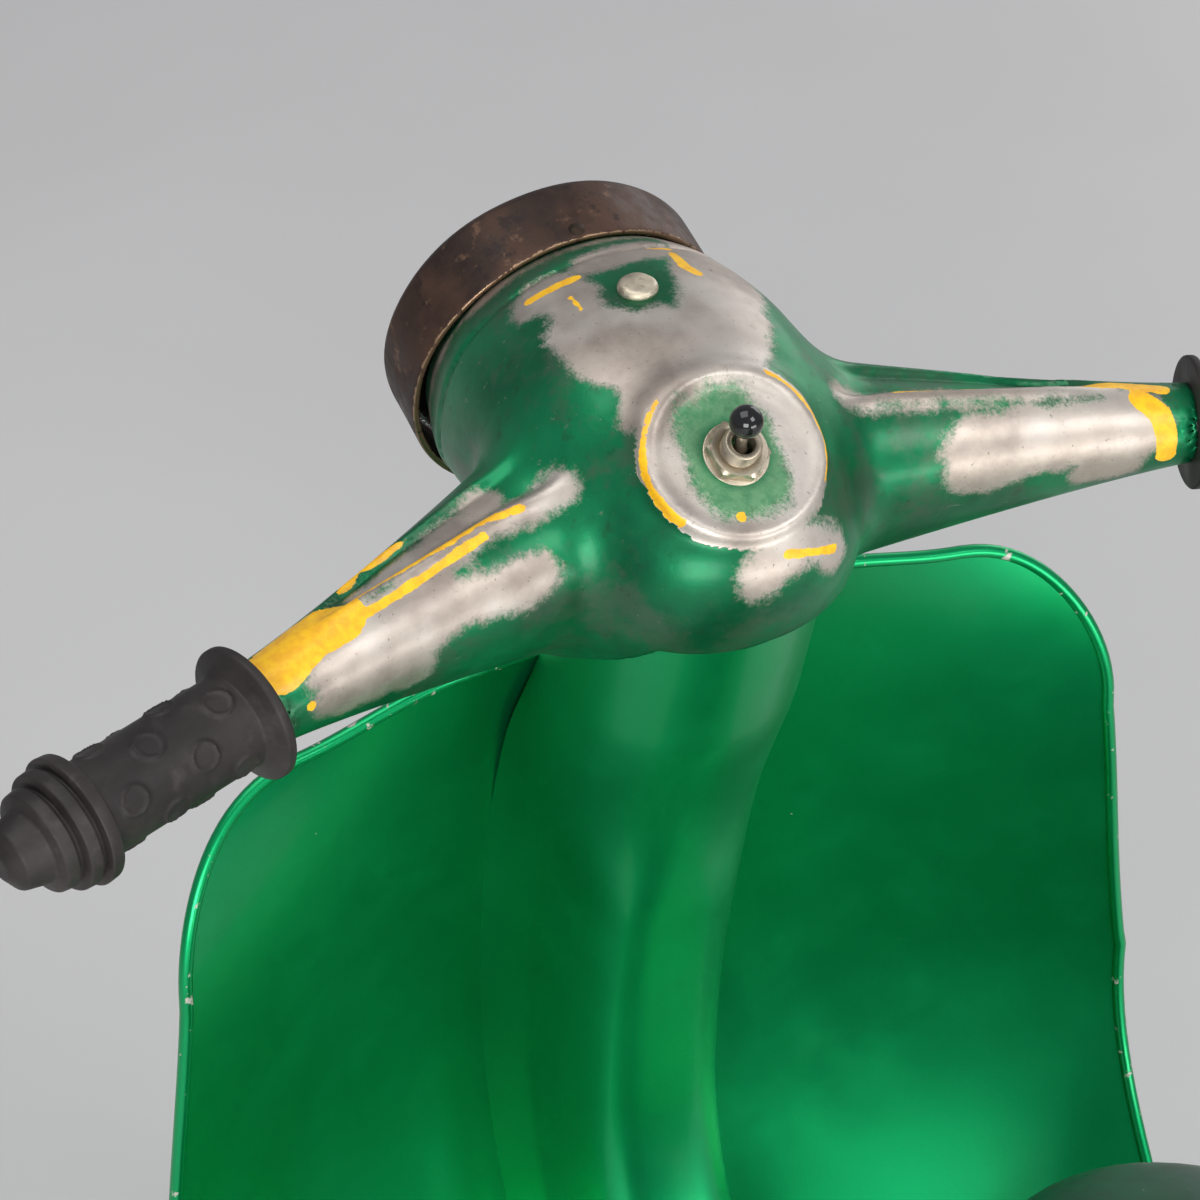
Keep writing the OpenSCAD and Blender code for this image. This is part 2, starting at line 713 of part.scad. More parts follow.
// Casting at each angle about its pivot line: outer and inner reach, half width, squareness
headset_outer = [[84.9, lip_reach + lip_r], [104.5, 131], [119, 153], [136.7, 172], [143, 170],
                 [152, 152], [160, 138], [171, 127], [180, pivot_x + socket_r]];
headset_inner = [[84.9, lip_reach - lip_r], [104.5, 14], [125, 26], [145, 38], [165, 50],
                 [180, pivot_x - socket_r]];
headset_half = [[84.9, lip_r], [104.5, 53], [119, 54], [136.7, 51], [152, 47], [166, 40],
                [180, socket_r]];
headset_square = [[84.9, 2], [100, 2.3], [119, 2.5], [136.7, 2.3], [152, 2.2], [166, 2], [180, 2]];
ring_steps = 32;
function headset_ring(angle, inset) =
    let (far = through(headset_outer, angle), near = through(headset_inner, angle),
         mid = (far + near) / 2, half_r = (far - near) / 2 - inset,
         half_w = through(headset_half, angle) - inset, e = 2 / through(headset_square, angle))
    [for (i = [0:ring_steps - 1])
        let (t = 360 * i / ring_steps, r = mid + half_r * power(cos(t), e))
        [pivot_x + r * cos(angle), half_w * power(sin(t), e), socket_h + r * sin(angle)]];

module headset_body(inset, over) {
    rows = 18;
    skin([for (i = [0:rows]) headset_ring(mix(84.9 - over, 180 + over, i / rows), inset)]);
}

// Space cut from the casting for the neck cover, and from under the chin
module neck_space(grow) {
    half_w = 56 + grow;
    difference() {
        union() {
            translate([0, 0, socket_h - 40])
                cylinder(h = neck_top_h - socket_h + 40 + grow, r = neck_clear_r + grow, $fn = fine);
            rotate([90, 0, -90]) linear_extrude(height = 90) polygon([
                [-34 - grow, neck_top_h + grow - 0.05], [34 + grow, neck_top_h + grow - 0.05],
                [half_w, 560], [half_w, 480], [-half_w, 480], [-half_w, 560]]);
        }
        translate([0, 0, socket_h - 50]) cylinder(h = 200, r = neck_r - grow, $fn = fine);
    }
}

// Handlebar arm along its own Z, from the grip flange inwards
arm_tip_r = 12.5;
arm_steps = 20;
function arm_ring(u, inset) =
    let (wide = arm_tip_r + 18.5 * pow(u, 1.4) - inset,
         up = arm_tip_r + 15 * pow(u, 1.2) - inset, down = arm_tip_r + 40 * u - inset)
    [for (i = [0:arm_steps - 1]) let (t = 360 * i / arm_steps)
        [wide * cos(t) - u, (sin(t) > 0 ? up : down) * sin(t), u * arm_len]];

module at_grip(side) {
    mirror([0, side > 0 ? 0 : 1, 0]) translate(flange_at)
        rotate([0, 0, arm_sweep]) rotate([90 + arm_rise, 0, 0]) children();
}

module arm(inset, from) {
    rows = 7;
    skin([for (i = [0:rows]) arm_ring(mix(from, 1, i / rows), inset)]);
}

module at_drum() {
    translate([pivot_x, 0, socket_h - 0.5]) rotate([0, drum_dip, 0])
        translate([-drum_back, 0, lip_reach]) rotate([0, 90, 0]) children();
}

module at_boss() {
    translate([boss[0], 0, boss[1]]) rotate([0, -boss_tilt, 0]) children();
}

module at_crown() {
    translate([crown[0], 0, crown[1]]) rotate([0, crown_tilt, 0]) children();
}

boss_half_l = 27;
boss_half_w = 28.5;
boss_rim = 1.2;
dish_half_l = 23;
dish_half_w = 17;
module boss_pad(height, half_l, half_w) {
    linear_extrude(height = height)
        polygon([for (i = [0:35]) [half_l * cos(i * 10), half_w * sin(i * 10)]]);
}

module headset_shell() {
    color(paint_green) in_steering() difference() {
        union() {
            headset_body(0, 0);
            for (side = [-1, 1]) at_grip(side) arm(0, 0);
            at_boss() translate([0, 0, -9]) boss_pad(9 + boss_rim, boss_half_l, boss_half_w);
        }
        neck_space(0);
        difference() {
            union() {
                headset_body(casting_wall, 1.5);
                for (side = [-1, 1]) at_grip(side) arm(casting_wall, 0.5);
            }
            neck_space(casting_wall);
        }
        for (side = [-1, 1]) at_grip(side) translate([0, 0, -1]) cylinder(h = 70, r = bar_r, $fn = fine);
        at_boss() boss_pad(14, dish_half_l, dish_half_w);
        at_boss() translate([0, 0, -20]) cylinder(h = 30, r = 6, $fn = fine);
        at_boss() translate([-15.5, -11.5, -40]) cube([31, 23, 40 - casting_wall]);
        at_crown() translate([0, 0, -30]) cylinder(h = 40, r = 3, $fn = medium);
        at_crown() cylinder(h = 12, r = 7.5, $fn = medium);
        at_drum() translate([-drum_r, 0, 4]) rotate([0, 90, 0]) cylinder(h = 14, r = 1.6, $fn = medium);
    }
}

module stem_clamp() {
    color(bare_steel) in_steering() translate([0, 0, socket_h + 1])
        sleeve(neck_r - casting_wall - 1, stem_r, 36);
}

module headlight_drum() {
    color(rust_brown) in_steering() at_drum() difference() {
        rotate_extrude($fn = fine) polygon([
            [drum_r - 2.5, 0], [drum_r, 0], [drum_r, drum_depth - 3], [drum_r - 2, drum_depth],
            [drum_r - 7, drum_depth], [drum_r - 7, drum_depth - 2], [drum_r - 2.5, drum_depth - 4]]);
        translate([-drum_r - 2, 0, 4]) rotate([0, 90, 0]) cylinder(h = 8, r = 1.6, $fn = medium);
    }
}

module drum_screw() {
    color(zinc) in_steering() at_drum() translate([-drum_r, 0, 4]) rotate([0, -90, 0])
        dome_screw(2.6, 0.8, 1.6, 11);
}

lens_z = drum_depth - 5;
module headlight_lens() {
    color([0.8, 0.9, 0.9, 0.4]) in_steering() at_drum() translate([0, 0, lens_z - 5])
        rotate_extrude($fn = fine) polygon([
            [0, 4.5], [20, 4], [36, 2.6], [drum_r - 3.5, 0],
            [drum_r - 3.5, 2.6], [36, 5.2], [20, 6.6], [0, 7.1]]);
}

module headlight_reflector() {
    depth = 26;
    neck_r = 12;
    mouth_r = drum_r - 6;
    steps = 10;
    function bowl(grow) = [for (i = [0:steps]) let (u = i / steps)
        [sqrt(neck_r * neck_r + (mouth_r * mouth_r - neck_r * neck_r) * u) + grow, depth * u]];
    color([0.85, 0.85, 0.85]) in_steering() at_drum() translate([0, 0, lens_z - 5.5 - depth])
        rotate_extrude($fn = fine) polygon(concat(bowl(0), reversed(bowl(1))));
}

module bulb_holder() {
    color(zinc) in_steering() at_drum() translate([0, 0, lens_z - 31.5 - 16]) {
        cylinder(h = 16, r = 11.5, $fn = medium);
        cylinder(h = 18, r = 8, $fn = medium);
    }
}

module bulb() {
    color([0.95, 0.93, 0.8, 0.5]) in_steering() at_drum() translate([0, 0, lens_z - 31.5 + 2.2]) {
        cylinder(h = 4, r = 5, $fn = medium);
        translate([0, 0, 9]) sphere(r = 7, $fn = medium);
    }
}

module crown_bolt() {
    color([0.75, 0.72, 0.65]) in_steering() at_crown() dome_screw(6.2, 2.4, 3, 14);
}

// ---------- toggle switch ----------

bush_h = 9.5;
pivot_h = 5;
knob_at = 12.5;
switch_lean = 16;
module switch_body() {
    color(zinc) in_steering() at_boss() difference() {
        union() {
            translate([-15, -11, -26]) cube([30, 22, 26 - casting_wall - 0.5]);
            translate([0, 0, -casting_wall - 1]) cylinder(h = bush_h + casting_wall + 1, r = 6, $fn = fine);
        }
        translate([0, 0, -8]) cylinder(h = bush_h + 10, r = 3.7, $fn = medium);
    }
}

module switch_washer() {
    color(zinc) in_steering() at_boss() sleeve(10.5, 6, 1.2);
}

module switch_nut() {
    color(zinc) in_steering() at_boss() translate([0, 0, 1.2]) hex_nut(switch_nut_af, 3.6, 6);
}

module at_lever() {
    in_steering() at_boss() translate([0, 0, pivot_h]) rotate([0, switch_lean, 0]) children();
}

module switch_lever() {
    color(zinc) at_lever() {
        sphere(r = 2.4, $fn = medium);
        cylinder(h = knob_at - 4, r = 1.7, $fn = medium);
    }
}

module switch_knob() {
    color([0.02, 0.02, 0.02]) at_lever() difference() {
        translate([0, 0, knob_at]) sphere(r = 5, $fn = fine);
        cylinder(h = knob_at - 4, r = 1.7, $fn = medium);
    }
}

// ---------- bars and grips ----------

bar_in = 64;
module bar(side) {
    color(zinc) in_steering() at_grip(side) translate([0, 0, -grip_length + 14])
        sleeve(bar_r, bar_r - 2, grip_length - 14 + bar_in);
}

module bar_left() bar(1);
module bar_right() bar(-1);

// Grip along the bar: inner flange, barrel, then stepped rings down to the tip
module grip() {
    bore_end = grip_length - 13.5;
    end = grip_length;
    rotate_extrude($fn = fine) polygon([
        [bar_r, 0], [flange_r, 0], [flange_r, 3], [flange_r - 4, 4.5], [grip_r, 6],
        [grip_r, end - 30], [flange_r - 1, end - 28], [flange_r - 1, end - 24], [flange_r - 3, end - 23],
        [flange_r - 3, end - 17], [flange_r - 6, end - 16], [flange_r - 6, end - 11],
        [flange_r - 10, end - 10], [flange_r - 11, end - 5], [4, end], [0, end],
        [0, bore_end], [bar_r, bore_end]]);
}

module grip_left() color(rubber_grey) in_steering() at_grip(1) mirror([0, 0, 1]) grip();
module grip_right() color(rubber_grey) in_steering() at_grip(-1) mirror([0, 0, 1]) grip();

// ---------- all sub-parts ----------

leg_shield();
floorboard();
floor_strips();
floor_rivets();
spine_cover();
nose_cover();
main_frame();
rear_frame();
lower_cup();
upper_cup();
neck_cover();
rear_body();
body_bulkhead();
cover_screws();
saddle();
saddle_base();
saddle_bolts();
battery_box();
tail_lamp_base();
tail_lamp_lens();
rear_axle();
rear_axle_nuts();
rear_spacers();
stand_pin();
headset_shell();
stem_clamp();
headlight_drum();
drum_screw();
headlight_lens();
headlight_reflector();
bulb_holder();
bulb();
crown_bolt();
switch_body();
switch_washer();
switch_nut();
bar_left();
bar_right();
grip_left();
grip_right();
fork();
lower_cone();
upper_cone();
bearing_balls();
lock_nut();
front_mudguard();
mudguard_bolt();
front_axle();
front_axle_nuts();
front_spacers();
switch_lever();
switch_knob();
front_rim();
front_tyre();
front_hub();
rear_rim();
rear_tyre();
rear_hub();
centre_stand();
stand_feet();
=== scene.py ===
import json
import math

import bpy
import numpy as np
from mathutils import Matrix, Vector


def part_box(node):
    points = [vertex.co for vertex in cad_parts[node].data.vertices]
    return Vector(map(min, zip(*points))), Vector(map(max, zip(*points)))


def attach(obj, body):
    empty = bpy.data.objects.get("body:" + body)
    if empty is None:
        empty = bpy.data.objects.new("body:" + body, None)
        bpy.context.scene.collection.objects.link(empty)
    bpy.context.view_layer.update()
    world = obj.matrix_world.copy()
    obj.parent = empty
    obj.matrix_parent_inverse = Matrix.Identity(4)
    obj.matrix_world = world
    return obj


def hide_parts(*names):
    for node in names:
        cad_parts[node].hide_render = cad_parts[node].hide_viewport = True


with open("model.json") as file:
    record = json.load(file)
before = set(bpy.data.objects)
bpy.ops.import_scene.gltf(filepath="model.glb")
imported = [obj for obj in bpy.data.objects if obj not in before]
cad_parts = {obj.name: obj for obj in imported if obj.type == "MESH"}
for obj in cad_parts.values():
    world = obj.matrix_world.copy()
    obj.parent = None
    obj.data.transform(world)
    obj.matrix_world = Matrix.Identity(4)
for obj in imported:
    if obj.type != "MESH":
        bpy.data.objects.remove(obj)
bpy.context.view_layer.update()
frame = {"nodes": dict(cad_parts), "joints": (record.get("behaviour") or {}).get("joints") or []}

# Lengths are in millimetres up to the meshes, which are in metres
MM = 0.001


def cad(node):
    """Lowest and highest corner of a CAD node, in millimetres."""
    low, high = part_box(node)
    return np.array(low) / MM, np.array(high) / MM


# ---------- the steering frame ----------
# Z runs up the steering axis, and the origin is the foot of the perpendicular
# from the front axle's centre.
steering_joint = next(j for j in frame["joints"] if j["name"] == "steering_turn")
STEER_Z = np.array(steering_joint["axis"], float)
STEER_Z *= np.sign(STEER_Z[2]) / np.linalg.norm(STEER_Z)
STEER_X = np.array([STEER_Z[2], 0, -STEER_Z[0]])
STEERING_AXES = np.array([STEER_X, (0, 1, 0), STEER_Z])
axle = sum(cad("front_axle")) / 2
on_axis = np.array(steering_joint["pos_m"]) / MM
STEER_FOOT = on_axis + (axle - on_axis) @ STEER_Z * STEER_Z


def steered(points):
    """Points of the steering frame, in the row frame."""
    return STEER_FOOT + np.asarray(points, float) @ STEERING_AXES


def to_steering(points):
    """Points of the row frame, in the steering frame."""
    return (np.asarray(points, float) - STEER_FOOT) @ STEERING_AXES.T


def tilted(angle):
    """Axes turned about Y by an angle in degrees, as rows."""
    c, s = math.cos(math.radians(angle)), math.sin(math.radians(angle))
    return np.array([(c, 0, -s), (0, 1, 0), (s, 0, c)])


# ---------- small maths ----------
def smoothstep(low, high, x):
    t = np.clip((x - low) / (high - low), 0, 1)
    return t * t * (3 - 2 * t)


def blend(a, b, u):
    return a + (b - a) * u


def power(v, e):
    return np.sign(v) * np.abs(v) ** e


def through(points, at):
    """Smooth curve through a short list of (place, value) points."""
    x, y = np.array(points, float).T
    slope = np.gradient(y, x)
    slope[1:-1] = (y[2:] - y[:-2]) / (x[2:] - x[:-2])
    i = np.clip(np.searchsorted(x, at) - 1, 0, len(x) - 2)
    h = x[i + 1] - x[i]
    u = (at - x[i]) / h
    return ((2 * u**3 - 3 * u**2 + 1) * y[i] + (u**3 - 2 * u**2 + u) * slope[i] * h
            + (3 * u**2 - 2 * u**3) * y[i + 1] + (u**3 - u**2) * slope[i + 1] * h)


# ---------- meshes ----------
def piece(name, points, faces, body, slot, surface, replaced=(), crease=None, fields=None):
    """A mesh given in millimetres in the row frame, finished and fixed to its body."""
    mesh = bpy.data.meshes.new(name)
    mesh.from_pydata((np.asarray(points, float) * MM).tolist(), [], [list(map(int, f)) for f in faces])
    mesh.validate()
    mesh.shade_smooth()
    if crease:
        mesh.set_sharp_from_angle(angle=math.radians(crease))
    for key, values in (fields or {}).items():
        mesh.attributes.new(key, "FLOAT", "POINT").data.foreach_set("value", np.asarray(values, np.float32))
    mesh.materials.append(surface)
    obj = bpy.data.objects.new(name, mesh)
    bpy.context.scene.collection.objects.link(obj)
    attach(obj, body)
    if replaced:
        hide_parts(*replaced)
    return obj


def grid_faces(rows, cols, ring=False, loop=False, start=0):
    """Quads over rows of cols points; ring joins each row's ends, loop the last row to the first."""
    out = []
    for i in range(rows if loop else rows - 1):
        a, b = start + i * cols, start + (i + 1) % rows * cols
        for j in range(cols if ring else cols - 1):
            k = (j + 1) % cols
            out.append((a + j, a + k, b + k, b + j))
    return out


def skin(rows, ring=True, ends="fan"):
    """Points and faces over a list of equal rows. A thin ring that goes out along one face of a
    sheet and back along the other is closed by quads across it; others by one face."""
    rows = [np.asarray(r, float) for r in rows]
    n = len(rows[0])
    faces = grid_faces(len(rows), n, ring)
    last = (len(rows) - 1) * n
    if ends == "thin":
        for j in range(n // 2 - 1):
            faces.append((j + 1, j, n - 1 - j, n - 2 - j))
            faces.append((last + j, last + j + 1, last + n - 2 - j, last + n - 1 - j))
    elif ends == "fan":
        faces.append(tuple(range(n - 1, -1, -1)))
        faces.append(tuple(range(last, last + n)))
    return np.concatenate(rows), faces


def fillet(points, radius, closed=False, steps=3):
    """The same outline with its corners rounded."""
    points = [np.array(p, float) for p in points]
    out, n = [], len(points)
    for i, p in enumerate(points):
        if not closed and i in (0, n - 1):
            out.append(p)
            continue
        a, b = points[i - 1] - p, points[(i + 1) % n] - p
        la, lb = np.linalg.norm(a), np.linalg.norm(b)
        reach = min(radius, 0.45 * la, 0.45 * lb)
        start, end = p + a / la * reach, p + b / lb * reach
        for k in range(steps + 1):
            t = k / steps
            out.append((1 - t) ** 2 * start + 2 * t * (1 - t) * p + t * t * end)
    return np.array(out)


def lathe(profile, steps=96, sweep=360, start=0, closed=True):
    """Rows about local Z from (radius, height) points, with the profile's own ring closed or not."""
    profile = np.asarray(profile, float)
    full = sweep == 360
    angles = np.radians(start + np.linspace(0, sweep, steps + (not full), endpoint=not full))
    c, s = np.cos(angles)[:, None], np.sin(angles)[:, None]
    r, h = profile[:, 0], profile[:, 1]
    points = np.stack([r * c, r * s, np.broadcast_to(h, (len(angles), len(h)))], -1)
    faces = grid_faces(len(angles), len(profile), closed, full)
    if not full:
        n, last = len(profile), (len(angles) - 1) * len(profile)
        faces += [tuple(range(n - 1, -1, -1)), tuple(range(last, last + n))]
    return points.reshape(-1, 3), faces


def tube(path, radius, steps=12):
    """A round bar along a path, with domed ends."""
    path = np.asarray(path, float)
    along = np.gradient(path, axis=0)
    along /= np.linalg.norm(along, axis=1)[:, None]
    side = np.cross(along[0], (0.3, 0.5, 0.8))
    rows = []
    for p, t in zip(path, along):
        side = side - side @ t * t
        side /= np.linalg.norm(side)
        up = np.cross(t, side)
        a = np.linspace(0, 2 * np.pi, steps, endpoint=False)[:, None]
        rows.append((p, t, np.cos(a) * side + np.sin(a) * up))
    rings = [p - t * radius * 0.8 + w * radius * 0.5 for p, t, w in rows[:1]]
    rings += [p + w * radius for p, t, w in rows]
    rings += [p + t * radius * 0.8 + w * radius * 0.5 for p, t, w in rows[-1:]]
    return skin(rings)


def placed(points, at, axes):
    """Points given along three axes from a place, in that place's frame."""
    return np.asarray(at, float) + np.asarray(points, float) @ np.asarray(axes, float)


def flipped(faces):
    return [tuple(reversed(f)) for f in faces]


def join(*parts):
    """Several (points, faces) as one."""
    points, faces, start = [], [], 0
    for p, f in parts:
        points.append(np.asarray(p, float))
        faces += [tuple(i + start for i in face) for face in f]
        start += len(p)
    return np.concatenate(points), faces


def surface_net(field, low, high, step):
    """Mesh of the zero surface of a field that is negative inside, with each point moved onto it."""
    axes = [np.arange(a, b + step, step) for a, b in zip(low, high)]
    value = np.empty([len(a) for a in axes], np.float32)
    slab = 24
    for j in range(0, len(axes[1]), slab):
        block = np.stack(np.meshgrid(axes[0], axes[1][j:j + slab], axes[2], indexing="ij"), -1)
        value[:, j:j + slab] = field(block)
    inside = value < 0

    # A point in each cell that the surface crosses, at the mean of its edges' crossings
    shape = [n - 1 for n in value.shape]
    total = np.zeros(shape + [3], np.float32)
    count = np.zeros(shape, np.int32)
    faces = []
    crossings = []
    for axis in range(3):
        others = [a for a in range(3) if a != axis]
        lead = [slice(None)] * 3
        tail = [slice(None)] * 3
        lead[axis], tail[axis] = slice(0, -1), slice(1, None)
        v0, v1 = value[tuple(lead)], value[tuple(tail)]
        cross = inside[tuple(lead)] != inside[tuple(tail)]
        place = np.where(cross, v0 / np.where(cross, v0 - v1, 1), 0)
        crossings.append((cross, inside[tuple(lead)]))
        for p in (0, 1):
            for q in (0, 1):
                cut = [slice(None)] * 3
                cut[others[0]] = slice(p, shape[others[0]] + p)
                cut[others[1]] = slice(q, shape[others[1]] + q)
                c = cross[tuple(cut)]
                total[..., axis] += place[tuple(cut)]
                total[..., others[0]] += c * p
                total[..., others[1]] += c * q
                count += c
    used = count > 0
    index = np.full(shape, -1, np.int64)
    index[used] = np.arange(used.sum())
    cells = np.argwhere(used)
    points = np.array([a[0] for a in axes]) + step * (cells + total[used] / count[used][:, None])

    # A quad round each crossed edge, through the points of the four cells about it
    for axis, (cross, start_inside) in enumerate(crossings):
        u, v = [a for a in range(3) if a != axis]
        i = np.argwhere(cross)
        ok = (i[:, u] > 0) & (i[:, v] > 0) & (i[:, u] < value.shape[u] - 1) & (i[:, v] < value.shape[v] - 1)
        i = i[ok]
        quad = []
        for du, dv in ((1, 1), (0, 1), (0, 0), (1, 0)):
            k = i.copy()
            k[:, u] -= du
            k[:, v] -= dv
            quad.append(index[tuple(k.T)])
        quad = np.stack(quad, -1)
        back = start_inside[tuple(i.T)] ^ (axis == 1)
        quad[~back] = quad[~back][:, ::-1]
        faces.append(quad)
    faces = np.concatenate(faces)

    # Two steps down the slope bring the points onto the surface
    for _ in range(2):
        v, g = value_and_slope(field, points)
        points -= np.clip(v / np.maximum((g * g).sum(-1), 0.2), -0.5 * step, 0.5 * step)[:, None] * g
    return points, faces


def value_and_slope(field, points, h=0.15):
    v = field(points)
    slope = np.stack([(field(points + d) - field(points - d)) / (2 * h) for d in np.eye(3) * h], -1)
    return v, slope


# ---------- materials ----------
class Surface:
    """A procedural material: each call adds nodes and gives back the socket that they end in."""

    def __init__(self, name, **settings):
        self.material = bpy.data.materials.new(name)
        self.material.use_nodes = True
        self.tree = self.material.node_tree
        self.bsdf = self.tree.nodes["Principled BSDF"]
        self.place = self.tree.nodes.new("ShaderNodeTexCoord").outputs["Object"]
        self.height = None
        for key, value in settings.items():
            self.bsdf.inputs[key.replace("_", " ")].default_value = value

    def node(self, kind, inputs=(), **settings):
        node = self.tree.nodes.new("ShaderNode" + kind)
        for key, value in settings.items():
            setattr(node, key, value)
        for key, value in dict(inputs).items():
            if isinstance(value, bpy.types.NodeSocket):
                self.tree.links.new(value, node.inputs[key])
            else:
                node.inputs[key].default_value = value
        return node

    def stretched(self, scale):
        return self.node("Mapping", {"Vector": self.place, "Scale": scale}).outputs[0]

    def noise(self, scale, detail=4.0, rough=0.55, stretch=None, twist=0.0):
        place = self.stretched(stretch) if stretch else self.place
        return self.node("TexNoise", {"Vector": place, "Scale": scale, "Detail": detail,
                                      "Roughness": rough, "Distortion": twist}).outputs[0]

    def field(self, name):
        return self.node("Attribute", attribute_name=name).outputs["Fac"]

    def math(self, op, a, b=0.0, c=0.0):
        return self.node("Math", {0: a, 1: b, 2: c}, operation=op).outputs[0]

    def spread(self, noise, size):
        """The noise about zero, times a size."""
        return self.math("MULTIPLY", self.math("SUBTRACT", noise, 0.5), size)

    def part(self, share, value):
        return self.math("MULTIPLY", value, share)

    def mask(self, value, low, high, start=0.0, end=1.0):
        return self.node("MapRange", {"Value": value, "From Min": low, "From Max": high,
                                      "To Min": start, "To Max": end},
                         interpolation_type="SMOOTHSTEP").outputs[0]

    def mix(self, factor, a, b):
        colours = {k: v if isinstance(v, bpy.types.NodeSocket) else (*v, 1) for k, v in ((6, a), (7, b))}
        return self.node("Mix", {0: factor, **colours}, data_type="RGBA").outputs[2]

    def clouded(self, dark, pale, noise, low=0.35, high=0.65):
        """Two colours mixed by a noise."""
        return self.mix(self.mask(noise, low, high), dark, pale)

    def layer(self, base, colour, share, noise, low, high):
        """A colour laid over the base where a noise is high."""
        return self.mix(self.part(share, self.mask(noise, low, high)), base, colour)

    def set(self, name, socket):
        self.tree.links.new(socket, self.bsdf.inputs[name])
        return self

    def bump(self, height, distance, strength=1.0):
        inputs = {"Height": height, "Distance": distance * MM, "Strength": strength}
        if self.height:
            inputs["Normal"] = self.height
        self.height = self.node("Bump", inputs).outputs[0]
        self.tree.links.new(self.height, self.bsdf.inputs["Normal"])
        return self


GREEN = (0.0012, 0.37, 0.118)
GREEN_DEEP = (0.0008, 0.285, 0.088)
GREEN_BRIGHT = (0.002, 0.52, 0.18)
BARE = (0.50, 0.43, 0.37)
BARE_DARK = (0.33, 0.275, 0.235)
BARE_PALE = (0.68, 0.63, 0.57)
PRIMER = (0.95, 0.53, 0.004)
CHIP = (0.55, 0.52, 0.46)


def green_paint(name, worn_fields=False):
    """Metallic green with small chips, and with chipped edges where the mesh says where they are."""
    s = Surface(name, Roughness=0.3, Metallic=0.85, Coat_Weight=0.2, Coat_Roughness=0.14)
    base = s.layer(GREEN, GREEN_DEEP, 0.5, s.noise(9, 3), 0.35, 0.65)
    base = s.layer(base, GREEN_BRIGHT, 0.18, s.noise(900, 2), 0.55, 0.75)
    chips = s.mask(s.noise(150, 6, 0.62), 0.745, 0.765)
    if worn_fields:
        edge = s.math("ADD", s.field("edge"), s.spread(s.noise(150, 6, 0.65), 22.0))
        rim = s.mask(edge, 11.6, 12.2)
        chips = s.math("MAXIMUM", chips, rim)
    base = s.mix(chips, base, CHIP)
    s.set("Base Color", base)
    s.set("Metallic", s.mask(chips, 0.0, 1.0, 0.85, 0.4))
    s.set("Roughness", s.mask(s.math("ADD", s.noise(38, 5), chips), 0.3, 1.2, 0.34, 0.55))
    s.bump(s.noise(260, 3), 0.05, 0.35).bump(s.math("SUBTRACT", 1.0, chips), 0.12, 0.6)
    return s.material


def headset_paint():
    """Green paint worn through to bare metal, with the yellow primer showing at the breaks."""
    s = Surface("headset_paint", Roughness=0.35, Metallic=0.3, Coat_Weight=0.15, Coat_Roughness=0.18)
    broad = s.spread(s.noise(75, 4, 0.6), 9.0)
    fine = s.spread(s.noise(420, 6, 0.7), 5.5)
    speckle = s.spread(s.noise(1100, 3, 0.7), 5.0)
    ragged = s.math("ADD", broad, fine)
    bare = s.mask(s.math("ADD", s.field("bare"), s.math("ADD", ragged, speckle)), -3.4, 1.2)
    yellow = s.mask(s.math("ADD", s.field("yellow"), s.part(0.22, ragged)), -0.12, 0.12)

    paint = s.clouded((0.0015, 0.110, 0.042), (0.0020, 0.235, 0.085), s.noise(22, 4), 0.3, 0.7)
    rubbing = s.math("ADD", s.part(0.8, s.noise(34, 5, 0.62)), s.part(0.2, s.noise(300, 4, 0.7)))
    paint = s.layer(paint, (0.075, 0.125, 0.080), 0.62, rubbing, 0.47, 0.62)
    thinned = s.math("MULTIPLY", s.field("thinned"), s.mask(s.noise(210, 6, 0.7), 0.25, 0.6, 0.35, 0.85))
    paint = s.mix(thinned, paint, (0.17, 0.36, 0.185))
    paint = s.layer(paint, (0.02, 0.05, 0.025), 0.5, s.noise(160, 6, 0.7), 0.56, 0.72)
    scuffs = s.noise(260, 5, 0.7, stretch=(1, 0.35, 1))
    paint = s.layer(paint, (0.30, 0.30, 0.24), 0.5, scuffs, 0.66, 0.70)

    metal = s.clouded(BARE_DARK, BARE, s.noise(55, 5, 0.6), 0.3, 0.7)
    metal = s.layer(metal, BARE_PALE, 0.7, s.noise(24, 3), 0.45, 0.7)
    pits = s.mask(s.noise(700, 4, 0.65), 0.63, 0.73)
    metal = s.mix(s.part(0.6, pits), metal, (0.075, 0.058, 0.046))
    metal = s.layer(metal, (0.13, 0.112, 0.085), 0.25, s.noise(120, 6, 0.7), 0.58, 0.74)

    primer = s.clouded((0.84, 0.41, 0.005), PRIMER, s.noise(300, 4))
    colour = s.mix(bare, paint, metal)
    colour = s.mix(yellow, colour, primer)
    s.set("Base Color", colour)
    painted = s.math("SUBTRACT", 1.0, bare)
    metallic = s.math("MULTIPLY", s.mask(bare, 0.0, 1.0, 0.75, 0.8), s.math("SUBTRACT", 1.0, yellow))
    s.set("Metallic", metallic)
    rough = s.math("ADD", s.mask(bare, 0.0, 1.0, 0.33, 0.36), s.part(0.22, s.noise(140, 5, 0.65)))
    s.set("Roughness", s.math("ADD", rough, s.part(0.2, pits)))
    s.bump(painted, 0.14, 0.8).bump(s.noise(110, 5, 0.6), 0.5, 0.25)
    s.bump(s.noise(650, 4, 0.7), 0.12, 0.4)
    return s.material


